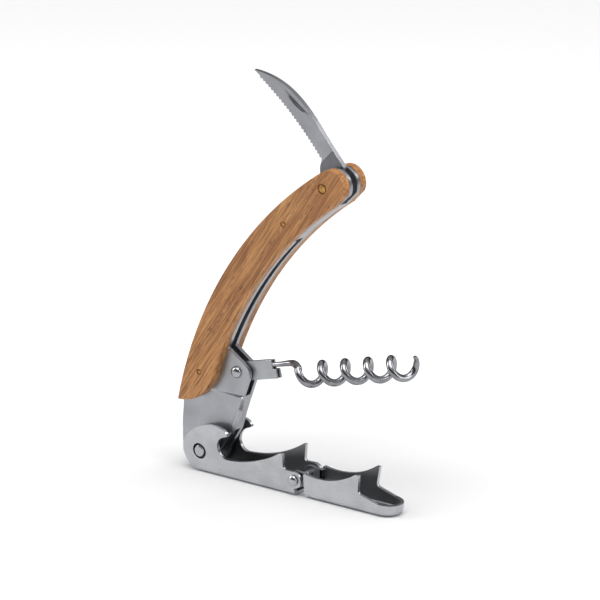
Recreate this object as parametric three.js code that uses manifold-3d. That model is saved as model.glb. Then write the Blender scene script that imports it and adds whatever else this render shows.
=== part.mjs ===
// Double-hinged lever corkscrew, opened out and standing on its lever.
// Millimetres. X runs along the lever, Y across it and Z up.
// Places are measured from the lever pivot's foot on the ground; the last lines move
// the finished group so that its origin is the middle of its footprint.

import * as THREE from 'three';
import { mergeVertices } from 'three/addons/utils/BufferGeometryUtils.js';
import Module from 'manifold-3d';

const wasm = await Module();
wasm.setup();

// ---------------------------------------------------------------- driving dimensions

// Clearances
const FACE_GAP = 0.3; // between two faces that lie side by side
const PIN_GAP = 0.25; // all round a pin in its hole
const ARM_GAP = 0.17; // between a bush flange and the leaning arm, at its closest
const FLOOR_GAP = 0.4; // between the frame's round end and the lever's floor
const TANG_GAP = 1.35; // between the blade's round tang and the fold at the nose
const HINGE_GAP = 0.8; // between the first stage's ears and the second stage's walls

// Folded steel frame
const FRAME_SHEET = 1.35; // wall thickness of the frame
const FOOT_SPREAD = 0.75; // each wall steps out by this round the lever pivot
const SPREAD_TOP = 14.3; // height over the lever pivot where the walls start to spread
const SPREAD_BOTTOM = 6; // and where they are fully spread
const HANDLE_RADIUS = 122.3; // middle line of the curved handle
const HANDLE_SWEEP = 44; // degrees of that arc
const HANDLE_WIDTH = 10.6; // back edge to front edge
const HANDLE_FOOT_X = -3.2; // where the arc starts, from the lever pivot
const HANDLE_FOOT_Z = 13.4;
const HANDLE_FOOT_ANGLE = 167.6; // degrees, direction from the arc's centre
const NOSE_RELIEF = 0.2; // round end of the handle is this much smaller than half its width
const NOSE_TURN = -25; // degrees, where the round end gives way to the front corner
const NOSE_SETBACK = 2.6; // front edge stops this far before the end of the arc
const WEB_LENGTH = 23.5; // fold that joins the walls at the nose, along the arc
const SHOULDER_RISE = 22.5; // frame leaves the arc for the worm pivot, along the arc
const SHOULDER_X = 4.8; // front corner from the worm pivot
const SHOULDER_Z = 1.3;
const SHOULDER_DROP = 1; // fall of the shoulder towards its corner
const CHIN_X = 9.7; // end of the front edge, from the lever pivot
const CHIN_Z = 7.2;
const LOWER_WEB_RISE = 18.7; // top of the lower fold, over the lever pivot
const TOE_X = -3.0; // low rear corner, from the lever pivot
const TOE_HEIGHT = 0.7; // over the ground
const HEEL_X = -8.1; // rear corner above it
const HEEL_HEIGHT = 4.7; // over the ground

// Wood scales
const WOOD_THICKNESS = 2.6;
const WOOD_FOOT_RADIUS = 14.3; // round lower front corner

// Blade
const BLADE_THICKNESS = 1.6;
const BLADE_LENGTH = 41.1; // pivot to tip
const BLADE_TIP_ANGLE = 133.6; // degrees, pivot to tip
const BLADE_PIVOT_SETBACK = 2.8; // pivot from the end of the arc, along it
const BLADE_PIVOT_DEPTH = 4.2; // pivot from the back edge
const BLADE_PIN_RADIUS = 1.2;
const SPINE_BASE_X = 4.3; // where the spine meets the tang, from the pivot
const SPINE_BASE_Z = 6.2;
const SPINE_ROOT = [16, 3]; // first handle of the spine's curve: along and beside its chord
const SPINE_HUMP = [26, 8.8]; // second handle, which makes the hump nearer the tip
const HEEL_BASE_X = -4.0; // where the cutting edge starts, from the pivot
const HEEL_BASE_Z = 7.5;
const EDGE_BOW = 1.3; // rise of the cutting edge's arc over its chord
const CHOIL_X = -4.2; // straight stretch below the cutting edge
const CHOIL_TOP = 5.6;
const CHOIL_BOTTOM = 2.4;
const TOOTH_COUNT = 27;
const TOOTH_DEPTH = 0.45;
const BLUNT_TEETH = 2; // teeth left out where the edge runs out into the tip
const NICK_LENGTH = 11.6; // thumbnail groove
const NICK_WIDTH = 1.5;
const NICK_DEPTH = 0.45;
const NICK_X = -12.9; // its middle, from the pivot
const NICK_Z = 21.9;
const NICK_ANGLE = -35; // degrees

// Scale pins
const SCALE_PIN_RADIUS = 0.6;
const PIN_SINK = 0.1; // pins end this far below the wood's face
const UPPER_PIN_SETBACK = 19.2; // from the blade pivot, along the arc
const LOWER_PIN_RISE = 11.4; // from the handle's foot, along the arc

// Worm and its holder; along = from the worm pivot, off = square to that
const WORM_PIVOT_X = 11.7; // from the lever pivot
const WORM_PIVOT_Z = 26.0;
const WORM_ANGLE = 14.2; // degrees over the ground
const WIRE_RADIUS = 1.2;
const COIL_RADIUS = 2.95; // to the middle of the wire
const COIL_PITCH = 8.62;
const COIL_TURNS = 4.97;
const COIL_START = 22.2; // along
const COIL_OFF = -2.6; // off
const SHANK_OFF = 1.0; // off
const SHANK_STOP = 2.2; // shank ends this far before the coil starts
const FIRST_COIL_TURN = 0.09; // turn at which the bend from the shank is done
const TIP_LENGTH = 4.2;
const HOLDER_LENGTH = 14.9; // along
const HOLDER_HALF_WIDTH = 2.85;
const HOLDER_OFF = -0.25; // middle of the holder, off
const HOLDER_NOTCH = 1.5; // length of the notch that takes the shank's end
const WORM_RIVET_RADIUS = 1.1;
const WORM_HEAD_RADIUS = 1.8;
const WORM_HEAD_HEIGHT = 0.9;

// Lever, first stage
const LEVER_SHEET = 1.1;
const PIVOT_HEIGHT = 6.7; // lever pivot over the ground
const FIRST_FLARE = 0.105; // half width gained for each millimetre of height
const INNER_BEND = 0.2; // inside radius of the two folds
const WEB_START = 3.2; // floor of the channel begins, from the lever pivot
const ARM_RADIUS = 6.2; // arm round the lever pivot
const ARM_SHOULDER_ANGLE = 125; // degrees
const ARM_FOOT_ANGLE = 285; // degrees
const SHOULDER_HOLLOW = 1.1; // dip of the curve from the arm's shoulder to the hook
const HOOK_RISE = 9.2; // top of the cap lifter, over the lever pivot
const HOOK_X = 6.2;
const HOOK_TIP_X = 11.1;
const HOOK_TIP_Z = 6.9;
const HOOK_BACK = 0.5; // set-back of the hook's round top from its tip
const NOTCH_X = 10.6; // cap lifter's round notch, from the lever pivot
const NOTCH_Z = 2.8;
const NOTCH_RADIUS = 3.6;
const NOTCH_LOW_ANGLE = -95; // degrees, where the saddle runs into the notch
const NOTCH_HIGH_ANGLE = 115; // degrees, where the notch meets the hook
const FIRST_TOOTH_SETBACK = 3.6; // bearing face of the first tooth, from the stage pivot
const FIRST_TOOTH_HEIGHT = 12.5;
const FIRST_TOOTH_TIP = 0.9; // flat on top of the tooth
const SADDLE_SHARE = 0.28; // height of the saddle's middle between notch and tooth
const EAR_HEIGHT = 7.5;
const FLOOR_REACH = 0.1; // floor runs on past the stage pivot

// Joint between the stages
const STAGE_PIVOT_X = 35.2; // from the lever pivot
const STAGE_PIVOT_HEIGHT = 4.9;
const EAR_RADIUS = 2.7;
const KNUCKLE_DROP = 1.6; // underside of its stem, below the stage pivot
const KNUCKLE_RISE = 2; // top of its stem, over the stage pivot
const STAGE_RIVET_RADIUS = 1.1;
const STAGE_HEAD_RADIUS = 1.7;
const STAGE_HEAD_HEIGHT = 0.8;
const SPRING_THICKNESS = 0.4;
const SPRING_LENGTH = 13;
const SPRING_WIDTH = 4.2;
const SPRING_TAB = 4; // flat end that is fixed to the floor
const SPRING_SETBACK = 0.4; // free end, from the stage pivot
const SPRING_LIFT = 0.3; // free end over the fixed end

// Lever, second stage
const SECOND_BASE = 4.55; // half width outside, at the ground
const SECOND_FLARE = 0.09;
const SECOND_LENGTH = 35.0; // stage pivot to the end of the nose
const SECOND_REAR_HEIGHT = 7.7;
const SECOND_HEEL = 0.2; // rear corner's round, forward of the walls' edge
const SECOND_HEEL_HEIGHT = 0.4;
const SECOND_SADDLE_X = 8.8; // lowest point between hinge and tooth, from the stage pivot
const SECOND_SADDLE_HEIGHT = 7.1;
const SECOND_TOOTH_SETBACK = 10.9; // bearing face of the second tooth, from the nose
const SECOND_TOOTH_HEIGHT = 11.5;
const SECOND_TOOTH_TIP = 1.2; // flat on top of the tooth
const TOOTH_UNDERCUT = 0.6; // the bearing face leans back by this
const TOOTH_ROOT_HEIGHT = 5.7;
const TOOTH_ROOT_ROUND = 0.5; // corner cut at the foot of the bearing face
const SPOUT_SETBACK = 4.8; // where the nose's low rim starts, from the nose
const SPOUT_HEIGHT = 3.8;

// Lever pivot
const PIVOT_RIVET_RADIUS = 1.2;
const PIVOT_HEAD_RADIUS = 1.75;
const PIVOT_HEAD_HEIGHT = 0.5;
const BUSH_RADIUS = 2.2; // hub of the bush, inside the arm's hole
const BUSH_FLANGE_RADIUS = 3.2;
const BUSH_FLANGE_THICKNESS = 0.45;
const HUB_SHARE = 0.55; // of the arm's thickness that the hub fills
const HEAD_CORNER = 0.8; // flat of the rivet head, as a share of its radius
const SPACER_RADIUS = 2.4;

// ------------------------------------------------------------------- derived places

const rad = THREE.MathUtils.degToRad;
const deg = THREE.MathUtils.radToDeg;

// The well between the frame's walls takes the blade at one end, the worm holder at the other.
const SLOT_WIDTH = BLADE_THICKNESS + 2 * FACE_GAP;
const HOLDER_THICKNESS = SLOT_WIDTH - 2 * FACE_GAP;
const FRAME_HALF = SLOT_WIDTH / 2 + FRAME_SHEET;
const FOOT_HALF_WIDTH = FRAME_HALF + FOOT_SPREAD;
const WOOD_FACE = FRAME_HALF + FACE_GAP + WOOD_THICKNESS;
const NOSE_RADIUS = HANDLE_WIDTH / 2 - NOSE_RELIEF;
const TANG_RADIUS = HANDLE_WIDTH - BLADE_PIVOT_DEPTH - FRAME_SHEET - TANG_GAP;
const EYE_RADIUS = PIVOT_HEIGHT - LEVER_SHEET - FLOOR_GAP; // frame round the lever pivot
const BEND_RADIUS = LEVER_SHEET + INNER_BEND; // outside of the lever's folds

// The arms stand clear of the bushes' flanges; this is the lever's half width at the ground.
const FLANGE_FACE = FOOT_HALF_WIDTH + FACE_GAP + BUSH_FLANGE_THICKNESS;
const FIRST_BASE = FLANGE_FACE + ARM_GAP + LEVER_SHEET
  - FIRST_FLARE * (PIVOT_HEIGHT - BUSH_FLANGE_RADIUS);
const FIRST_LENGTH = STAGE_PIVOT_X + FLOOR_REACH;
const SPRING_FLOOR = LEVER_SHEET + FACE_GAP;
const SPRING_TIP = SPRING_FLOOR + SPRING_LIFT + SPRING_THICKNESS; // top of the free end
const KNUCKLE_RADIUS = STAGE_PIVOT_HEIGHT - SPRING_TIP - FACE_GAP;
const FIRST_TOOTH_X = STAGE_PIVOT_X - FIRST_TOOTH_SETBACK;
const SECOND_START = STAGE_PIVOT_X + EAR_RADIUS + HINGE_GAP; // rear edge of its walls
const LEVER_LENGTH = STAGE_PIVOT_X + SECOND_LENGTH;
const BACK_RADIUS = HANDLE_RADIUS + HANDLE_WIDTH / 2;
const FRONT_RADIUS = HANDLE_RADIUS - HANDLE_WIDTH / 2;
const END_ANGLE = HANDLE_FOOT_ANGLE - HANDLE_SWEEP;
const OVERSIZE = 60; // reach of cutting shapes past the piece they cut

const pivot = new THREE.Vector2(0, PIVOT_HEIGHT);
const wormPivot = pivot.clone().add(new THREE.Vector2(WORM_PIVOT_X, WORM_PIVOT_Z));
const stagePivot = new THREE.Vector2(STAGE_PIVOT_X, STAGE_PIVOT_HEIGHT);
const handleCentre = new THREE.Vector2(
  HANDLE_FOOT_X - HANDLE_RADIUS * Math.cos(rad(HANDLE_FOOT_ANGLE)),
  PIVOT_HEIGHT + HANDLE_FOOT_Z - HANDLE_RADIUS * Math.sin(rad(HANDLE_FOOT_ANGLE)),
);

function polar(centre, radius, degrees) {
  return new THREE.Vector2(
    centre.x + radius * Math.cos(rad(degrees)),
    centre.y + radius * Math.sin(rad(degrees)),
  );
}

// Angle that a length along the handle's middle line spans, in degrees.
function sweep(length) {
  return deg(length / HANDLE_RADIUS);
}

const nose = polar(handleCentre, BACK_RADIUS - NOSE_RADIUS, END_ANGLE);
const bladeAngle = END_ANGLE + sweep(BLADE_PIVOT_SETBACK);
const bladePivot = polar(handleCentre, BACK_RADIUS - BLADE_PIVOT_DEPTH, bladeAngle);
const upperPin = polar(handleCentre, HANDLE_RADIUS, bladeAngle + sweep(UPPER_PIN_SETBACK));
const lowerPin = polar(handleCentre, HANDLE_RADIUS, HANDLE_FOOT_ANGLE - sweep(LOWER_PIN_RISE));

// ---------------------------------------------------------------------- shape tools

const ARC_STEPS = 6;
const ROUND_STEPS = 24;

// A Manifold solid from any closed three.js geometry.
function solid(source) {
  const bare = source.clone();
  bare.deleteAttribute('normal');
  bare.deleteAttribute('uv');
  const merged = mergeVertices(bare, 1e-4);
  return new wasm.Manifold(new wasm.Mesh({
    numProp: 3,
    vertProperties: new Float32Array(merged.attributes.position.array),
    triVerts: new Uint32Array(merged.index.array),
  }));
}

// The outline as a plain polygon, without the doubled points where its curves meet.
function cleaned(outline, steps) {
  const points = outline.getPoints(steps);
  const kept = points.filter((p, i) => {
    const next = points[(i + 1) % points.length];
    return p.distanceTo(next) > 0.02;
  });
  return new THREE.Shape(kept);
}

function geometry(manifold) {
  const mesh = manifold.getMesh();
  const result = new THREE.BufferGeometry();
  result.setAttribute('position', new THREE.BufferAttribute(mesh.vertProperties, 3));
  result.setIndex(new THREE.BufferAttribute(mesh.triVerts, 1));
  return result;
}

// Extrude an outline drawn in X and Z across the object, from y0 to y1.
function across(outline, y0, y1, steps = ARC_STEPS) {
  const shape = new THREE.ExtrudeGeometry(cleaned(outline, steps), {
    depth: y1 - y0,
    bevelEnabled: false,
  });
  const turn = new THREE.Matrix4().makeBasis(
    new THREE.Vector3(1, 0, 0),
    new THREE.Vector3(0, 0, 1),
    new THREE.Vector3(0, -1, 0),
  );
  return solid(shape.applyMatrix4(turn).translate(0, y1, 0));
}

// Extrude an outline drawn in Y and Z along the object, from x0 to x1.
function along(outline, x0, x1, steps = ARC_STEPS) {
  const shape = new THREE.ExtrudeGeometry(cleaned(outline, steps), {
    depth: x1 - x0,
    bevelEnabled: false,
  });
  const turn = new THREE.Matrix4().makeBasis(
    new THREE.Vector3(0, 1, 0),
    new THREE.Vector3(0, 0, 1),
    new THREE.Vector3(1, 0, 0),
  );
  return solid(shape.applyMatrix4(turn).translate(x0, 0, 0));
}

function bar(at, radius, y0, y1, steps = ROUND_STEPS) {
  const shape = new THREE.CylinderGeometry(radius, radius, y1 - y0, steps);
  return solid(shape.translate(at.x, (y0 + y1) / 2, at.y));
}

function hole(at, radius) {
  return bar(at, radius + PIN_GAP, -OVERSIZE, OVERSIZE);
}

function block(x0, x1, y0, y1, z0, z1) {
  const shape = new THREE.BoxGeometry(x1 - x0, y1 - y0, z1 - z0);
  return solid(shape.translate((x0 + x1) / 2, (y0 + y1) / 2, (z0 + z1) / 2));
}

function polygon(points) {
  return new THREE.Shape(points.map(([x, z]) => new THREE.Vector2(x, z)));
}

// Continue an outline along the circle through its last point, a middle one and an end.
function arcThrough(outline, middle, end) {
  const start = outline.currentPoint.clone();
  const a = middle.clone().sub(start);
  const b = end.clone().sub(start);
  const area = 2 * (a.x * b.y - a.y * b.x);
  const centre = new THREE.Vector2(
    start.x + (b.y * a.lengthSq() - a.y * b.lengthSq()) / area,
    start.y + (a.x * b.lengthSq() - b.x * a.lengthSq()) / area,
  );
  const from = start.clone().sub(centre).angle();
  const to = end.clone().sub(centre).angle();
  outline.absarc(centre.x, centre.y, start.distanceTo(centre), from, to, area < 0);
}

// Point beside a chord, a distance along it from its start and a rise off it.
function besideChord(start, end, along, rise) {
  const way = end.clone().sub(start).normalize();
  return start.clone().addScaledVector(way, along)
    .add(new THREE.Vector2(way.y, -way.x).multiplyScalar(rise));
}

// Point beside the middle of a chord, at the top of an arc of the given rise.
function bowed(start, end, rise) {
  const chord = end.clone().sub(start);
  const side = new THREE.Vector2(chord.y, -chord.x).setLength(rise);
  return start.clone().add(end).multiplyScalar(0.5).add(side);
}

// Angle on the first circle where it meets the second, on the side nearer `near`.
function meetingAngle(centreA, radiusA, centreB, radiusB, near) {
  const toB = centreB.clone().sub(centreA);
  const distance = toB.length();
  const cosine = (distance ** 2 + radiusA ** 2 - radiusB ** 2) / (2 * distance * radiusA);
  const spread = deg(Math.acos(cosine));
  const base = deg(toB.angle());
  const choices = [base + spread, base - spread];
  const reach = (angle) => polar(centreA, radiusA, angle).distanceTo(near);
  return choices.sort((p, q) => reach(p) - reach(q))[0];
}

// Turned piece with its axis across the object; the profile lists [radius, y].
function turned(profile, at) {
  const points = profile.map(([r, y]) => new THREE.Vector2(r, y));
  return solid(new THREE.LatheGeometry(points, ROUND_STEPS).translate(at.x, 0, at.y));
}

// Rivet with a domed head at each end; half is the length from its middle to a head.
function domedRivet(at, shank, half, head, height) {
  const dome = [];
  const steps = 5;
  for (let i = 0; i <= steps; i += 1) {
    const t = (i / steps) * (Math.PI / 2);
    dome.push([head * Math.sin(t), half + height * Math.cos(t)]);
  }
  const upper = dome.map(([r, y]) => [r, y]).reverse();
  const lower = dome.map(([r, y]) => [r, -y]);
  return turned([...lower, [shank, -half], [shank, half], ...upper], at);
}

function ring(at, inner, outer, y0, y1) {
  return turned([[inner, y0], [outer, y0], [outer, y1], [inner, y1], [inner, y0]], at);
}

// ------------------------------------------------------------------------- materials

function steel(color, roughness) {
  return new THREE.MeshStandardMaterial({ color, roughness, metalness: 1 });
}

const brushed = steel(0xb4b6b9, 0.42);
const polished = steel(0xcfd1d4, 0.14);
const bladeSteel = steel(0x85888d, 0.36);
const brass = new THREE.MeshStandardMaterial({ color: 0xb28b45, roughness: 0.38, metalness: 1 });
const wood = new THREE.MeshStandardMaterial({ color: 0xb9814f, roughness: 0.58, metalness: 0 });

const corkscrew = new THREE.Group();

function add(name, manifold, material) {
  const mesh = new THREE.Mesh(geometry(manifold), material);
  mesh.name = name;
  corkscrew.add(mesh);
  return mesh;
}

// ----------------------------------------------------------------------------- frame

// Handle outline from its foot, over the nose and back down its front edge.
function handleOutline(lowerFrontAngle) {
  const outline = new THREE.Shape();
  const foot = polar(handleCentre, BACK_RADIUS, HANDLE_FOOT_ANGLE);
  const frontEnd = END_ANGLE + sweep(NOSE_SETBACK);
  outline.moveTo(foot.x, foot.y);
  outline.absarc(handleCentre.x, handleCentre.y, BACK_RADIUS,
    rad(HANDLE_FOOT_ANGLE), rad(END_ANGLE), true);
  outline.absarc(nose.x, nose.y, NOSE_RADIUS, rad(END_ANGLE), rad(NOSE_TURN), true);
  outline.absarc(handleCentre.x, handleCentre.y, FRONT_RADIUS,
    rad(frontEnd), rad(lowerFrontAngle), false);
  return outline;
}

function frameOutline() {
  const outline = handleOutline(HANDLE_FOOT_ANGLE - sweep(SHOULDER_RISE));
  outline.lineTo(wormPivot.x + SHOULDER_X - SHOULDER_Z,
    wormPivot.y + SHOULDER_Z + SHOULDER_DROP);
  outline.quadraticCurveTo(
    wormPivot.x + SHOULDER_X, wormPivot.y + SHOULDER_Z,
    wormPivot.x + SHOULDER_X, wormPivot.y - SHOULDER_Z / 2,
  );
  outline.lineTo(CHIN_X, PIVOT_HEIGHT + CHIN_Z);
  outline.absarc(pivot.x, pivot.y, EYE_RADIUS, 0, -Math.PI / 2, true);
  outline.lineTo(TOE_X, TOE_HEIGHT);
  outline.lineTo(HEEL_X, HEEL_HEIGHT);
  outline.closePath();
  return outline;
}

// Cross-section of one wall in Y and Z: straight, spreading, straight.
function frameWall(side) {
  const top = PIVOT_HEIGHT + SPREAD_TOP;
  const bottom = PIVOT_HEIGHT + SPREAD_BOTTOM;
  const levels = [
    [FRAME_HALF, OVERSIZE * 3],
    [FRAME_HALF, top],
    [FOOT_HALF_WIDTH, bottom],
    [FOOT_HALF_WIDTH, -OVERSIZE],
  ];
  const outer = levels.map(([y, z]) => [side * y, z]);
  const inner = levels.map(([y, z]) => [side * (y - FRAME_SHEET), z]).reverse();
  return along(polygon([...outer, ...inner]), -OVERSIZE, OVERSIZE * 3);
}

function frameBody() {
  const outline = frameOutline();
  const steps = 12;
  const plate = across(outline, -OVERSIZE, OVERSIZE, steps);
  const walls = frameWall(-1).add(frameWall(1));

  // The fold at the nose follows the front edge.
  const noseWeb = new THREE.Shape();
  const first = rad(END_ANGLE + sweep(NOSE_SETBACK));
  const last = rad(END_ANGLE + sweep(WEB_LENGTH));
  noseWeb.absarc(handleCentre.x, handleCentre.y, FRONT_RADIUS, first, last, false);
  noseWeb.absarc(handleCentre.x, handleCentre.y, FRONT_RADIUS + FRAME_SHEET, last, first, true);
  const upperFold = across(noseWeb, -FRAME_HALF, FRAME_HALF, steps);

  // The lower fold follows the straight front edge down to the chin.
  const corner = new THREE.Vector2(wormPivot.x + SHOULDER_X, wormPivot.y - SHOULDER_Z / 2);
  const chin = new THREE.Vector2(CHIN_X, PIVOT_HEIGHT + CHIN_Z);
  const edge = chin.clone().sub(corner);
  const share = (corner.y - PIVOT_HEIGHT - LOWER_WEB_RISE) / (corner.y - chin.y);
  const foldTop = corner.clone().addScaledVector(edge, share);
  const inward = new THREE.Vector2(edge.y, -edge.x).setLength(FRAME_SHEET);
  const strip = polygon([
    [foldTop.x, foldTop.y],
    [chin.x, chin.y],
    [chin.x + inward.x, chin.y + inward.y],
    [foldTop.x + inward.x, foldTop.y + inward.y],
  ]);
  const levels = [
    [FRAME_HALF, OVERSIZE],
    [FRAME_HALF, PIVOT_HEIGHT + SPREAD_TOP],
    [FOOT_HALF_WIDTH, PIVOT_HEIGHT + SPREAD_BOTTOM],
    [FOOT_HALF_WIDTH, 0],
  ];
  const mirrored = levels.map(([y, z]) => [-y, z]).reverse();
  const between = along(polygon([...levels, ...mirrored]), -OVERSIZE, OVERSIZE);
  const lowerFold = across(strip, -OVERSIZE, OVERSIZE).intersect(between);

  return walls.intersect(plate).add(upperFold).add(lowerFold)
    .subtract(hole(pivot, PIVOT_RIVET_RADIUS))
    .subtract(hole(wormPivot, WORM_RIVET_RADIUS))
    .subtract(hole(bladePivot, BLADE_PIN_RADIUS))
    .subtract(hole(upperPin, SCALE_PIN_RADIUS))
    .subtract(hole(lowerPin, SCALE_PIN_RADIUS));
}

// ----------------------------------------------------------------------- wood scales

function woodOutline() {
  const foot = polar(handleCentre, BACK_RADIUS, HANDLE_FOOT_ANGLE);
  const corner = new THREE.Vector2(foot.x + FACE_GAP, foot.y + WOOD_FOOT_RADIUS);
  const front = polar(handleCentre, FRONT_RADIUS, HANDLE_FOOT_ANGLE);
  const meet = meetingAngle(handleCentre, FRONT_RADIUS, corner, WOOD_FOOT_RADIUS,
    new THREE.Vector2(front.x, front.y + WOOD_FOOT_RADIUS));
  const start = polar(handleCentre, FRONT_RADIUS, meet).sub(corner).angle();
  const outline = handleOutline(meet);
  outline.absarc(corner.x, corner.y, WOOD_FOOT_RADIUS, start, -Math.PI / 2, true);
  outline.closePath();
  return outline;
}

// A scale lies flat on the outside of its frame wall.
function woodScale(side) {
  const inner = side * (FRAME_HALF + FACE_GAP);
  const outer = side * WOOD_FACE;
  return across(woodOutline(), Math.min(inner, outer), Math.max(inner, outer), 12)
    .subtract(hole(bladePivot, BLADE_PIN_RADIUS))
    .subtract(hole(upperPin, SCALE_PIN_RADIUS))
    .subtract(hole(lowerPin, SCALE_PIN_RADIUS));
}

function scalePin(at, radius) {
  const half = WOOD_FACE - PIN_SINK;
  return bar(at, radius, -half, half, 20);
}

// ----------------------------------------------------------------------------- blade

// The cutting edge runs from the tip to the heel in small pointed teeth.
function cuttingEdge(outline, tip, heel) {
  const middle = bowed(tip, heel, -EDGE_BOW);
  const path = new THREE.QuadraticBezierCurve(
    tip, middle.clone().multiplyScalar(2).sub(tip.clone().add(heel).multiplyScalar(0.5)), heel);
  for (let i = BLUNT_TEETH; i < TOOTH_COUNT; i += 1) {
    const valley = path.getPointAt(i / TOOTH_COUNT);
    const point = path.getPointAt((i + 0.5) / TOOTH_COUNT);
    const tangent = path.getTangentAt((i + 0.5) / TOOTH_COUNT);
    outline.lineTo(valley.x, valley.y);
    outline.lineTo(point.x + tangent.y * TOOTH_DEPTH, point.y - tangent.x * TOOTH_DEPTH);
  }
  outline.lineTo(heel.x, heel.y);
}

function bladeBody() {
  const at = (x, z) => new THREE.Vector2(bladePivot.x + x, bladePivot.y + z);
  const tip = polar(bladePivot, BLADE_LENGTH, BLADE_TIP_ANGLE);
  const spineBase = at(SPINE_BASE_X, SPINE_BASE_Z);
  const heel = at(HEEL_BASE_X, HEEL_BASE_Z);
  const root = besideChord(spineBase, tip, ...SPINE_ROOT);
  const hump = besideChord(spineBase, tip, ...SPINE_HUMP);
  const outline = new THREE.Shape();
  outline.moveTo(spineBase.x, spineBase.y);
  outline.bezierCurveTo(root.x, root.y, hump.x, hump.y, tip.x, tip.y);
  cuttingEdge(outline, tip, heel);
  outline.lineTo(bladePivot.x + CHOIL_X, bladePivot.y + CHOIL_TOP);
  outline.lineTo(bladePivot.x + CHOIL_X, bladePivot.y + CHOIL_BOTTOM);
  outline.absarc(bladePivot.x, bladePivot.y, TANG_RADIUS, Math.PI, 2 * Math.PI, false);
  outline.closePath();

  const nick = new THREE.SphereGeometry(1, 14, 8);
  nick.scale(NICK_LENGTH / 2, NICK_DEPTH, NICK_WIDTH / 2);
  nick.rotateY(-rad(NICK_ANGLE));
  const nickAt = at(NICK_X, NICK_Z);
  nick.translate(nickAt.x, -BLADE_THICKNESS / 2, nickAt.y);

  return across(outline, -BLADE_THICKNESS / 2, BLADE_THICKNESS / 2, 10)
    .subtract(hole(bladePivot, BLADE_PIN_RADIUS))
    .subtract(solid(nick));
}

// ------------------------------------------------------------------------------ worm

// Worm and holder are drawn lying along X from the worm pivot and turned into place.
function placeOnWormPivot(mesh) {
  mesh.position.set(wormPivot.x, 0, wormPivot.y);
  mesh.rotation.y = -rad(WORM_ANGLE);
}

function coilPoint(turns) {
  const angle = Math.PI / 2 + turns * 2 * Math.PI;
  return new THREE.Vector3(
    COIL_START + COIL_PITCH * turns,
    COIL_RADIUS * Math.cos(angle),
    COIL_OFF + COIL_RADIUS * Math.sin(angle),
  );
}

function wormBody() {
  const shankStart = HOLDER_LENGTH - HOLDER_NOTCH + FACE_GAP;
  const points = [];
  const shankEnd = COIL_START - SHANK_STOP;
  for (const x of [shankStart, (shankStart + shankEnd) / 2, shankEnd]) {
    points.push(new THREE.Vector3(x, 0, SHANK_OFF));
  }
  const perTurn = 18;
  const count = Math.round((COIL_TURNS - FIRST_COIL_TURN) * perTurn);
  for (let i = 0; i <= count; i += 1) {
    const share = i / count;
    points.push(coilPoint(FIRST_COIL_TURN + (COIL_TURNS - FIRST_COIL_TURN) * share));
  }
  const path = new THREE.CatmullRomCurve3(points, false, 'centripetal');
  const section = new THREE.Shape();
  section.absarc(0, 0, WIRE_RADIUS, 0, 2 * Math.PI, false);
  const wire = new THREE.ExtrudeGeometry(section, {
    steps: Math.round(path.getLength() / WIRE_RADIUS),
    extrudePath: path,
    curveSegments: 5,
  });

  const end = path.getPoint(1);
  const direction = path.getTangent(1);
  const tip = new THREE.ConeGeometry(WIRE_RADIUS * 0.97, TIP_LENGTH, 12);
  tip.translate(0, TIP_LENGTH / 2 - WIRE_RADIUS / 2, 0);
  tip.applyQuaternion(new THREE.Quaternion().setFromUnitVectors(
    new THREE.Vector3(0, 1, 0), direction));
  tip.translate(end.x, end.y, end.z);
  return solid(wire).add(solid(tip));
}

function holderBody() {
  const top = HOLDER_OFF + HOLDER_HALF_WIDTH;
  const bottom = HOLDER_OFF - HOLDER_HALF_WIDTH;
  const notchFloor = SHANK_OFF - WIRE_RADIUS - FACE_GAP;
  const notchStart = HOLDER_LENGTH - HOLDER_NOTCH;
  const outline = new THREE.Shape();
  outline.moveTo(0, bottom);
  outline.lineTo(HOLDER_LENGTH, bottom);
  outline.lineTo(HOLDER_LENGTH, notchFloor);
  outline.lineTo(notchStart, notchFloor);
  outline.lineTo(notchStart, top);
  outline.lineTo(0, top);
  outline.absarc(0, HOLDER_OFF, HOLDER_HALF_WIDTH, Math.PI / 2, Math.PI * 1.5, false);
  return across(outline, -HOLDER_THICKNESS / 2, HOLDER_THICKNESS / 2)
    .subtract(hole(new THREE.Vector2(0, 0), WORM_RIVET_RADIUS));
}

// ----------------------------------------------------------------------------- lever

// Folded channel in Y and Z: flat floor, two round folds and walls that lean outwards.
function channel(base, flare, sheet, x0, x1) {
  const top = OVERSIZE / 2;
  const half = (z) => base + flare * z;
  const inside = base - sheet;
  const outline = new THREE.Shape();
  outline.moveTo(-half(top), top);
  outline.lineTo(-half(BEND_RADIUS), BEND_RADIUS);
  outline.quadraticCurveTo(-base, 0, -(base - BEND_RADIUS), 0);
  outline.lineTo(base - BEND_RADIUS, 0);
  outline.quadraticCurveTo(base, 0, half(BEND_RADIUS), BEND_RADIUS);
  outline.lineTo(half(top), top);
  outline.lineTo(half(top) - sheet, top);
  outline.lineTo(inside + flare * BEND_RADIUS, BEND_RADIUS);
  outline.quadraticCurveTo(inside, sheet, inside - (BEND_RADIUS - sheet), sheet);
  outline.lineTo(-inside + (BEND_RADIUS - sheet), sheet);
  outline.quadraticCurveTo(-inside, sheet, -(inside + flare * BEND_RADIUS), BEND_RADIUS);
  outline.lineTo(-half(top) + sheet, top);
  outline.closePath();
  return along(outline, x0, x1, 4);
}

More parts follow.
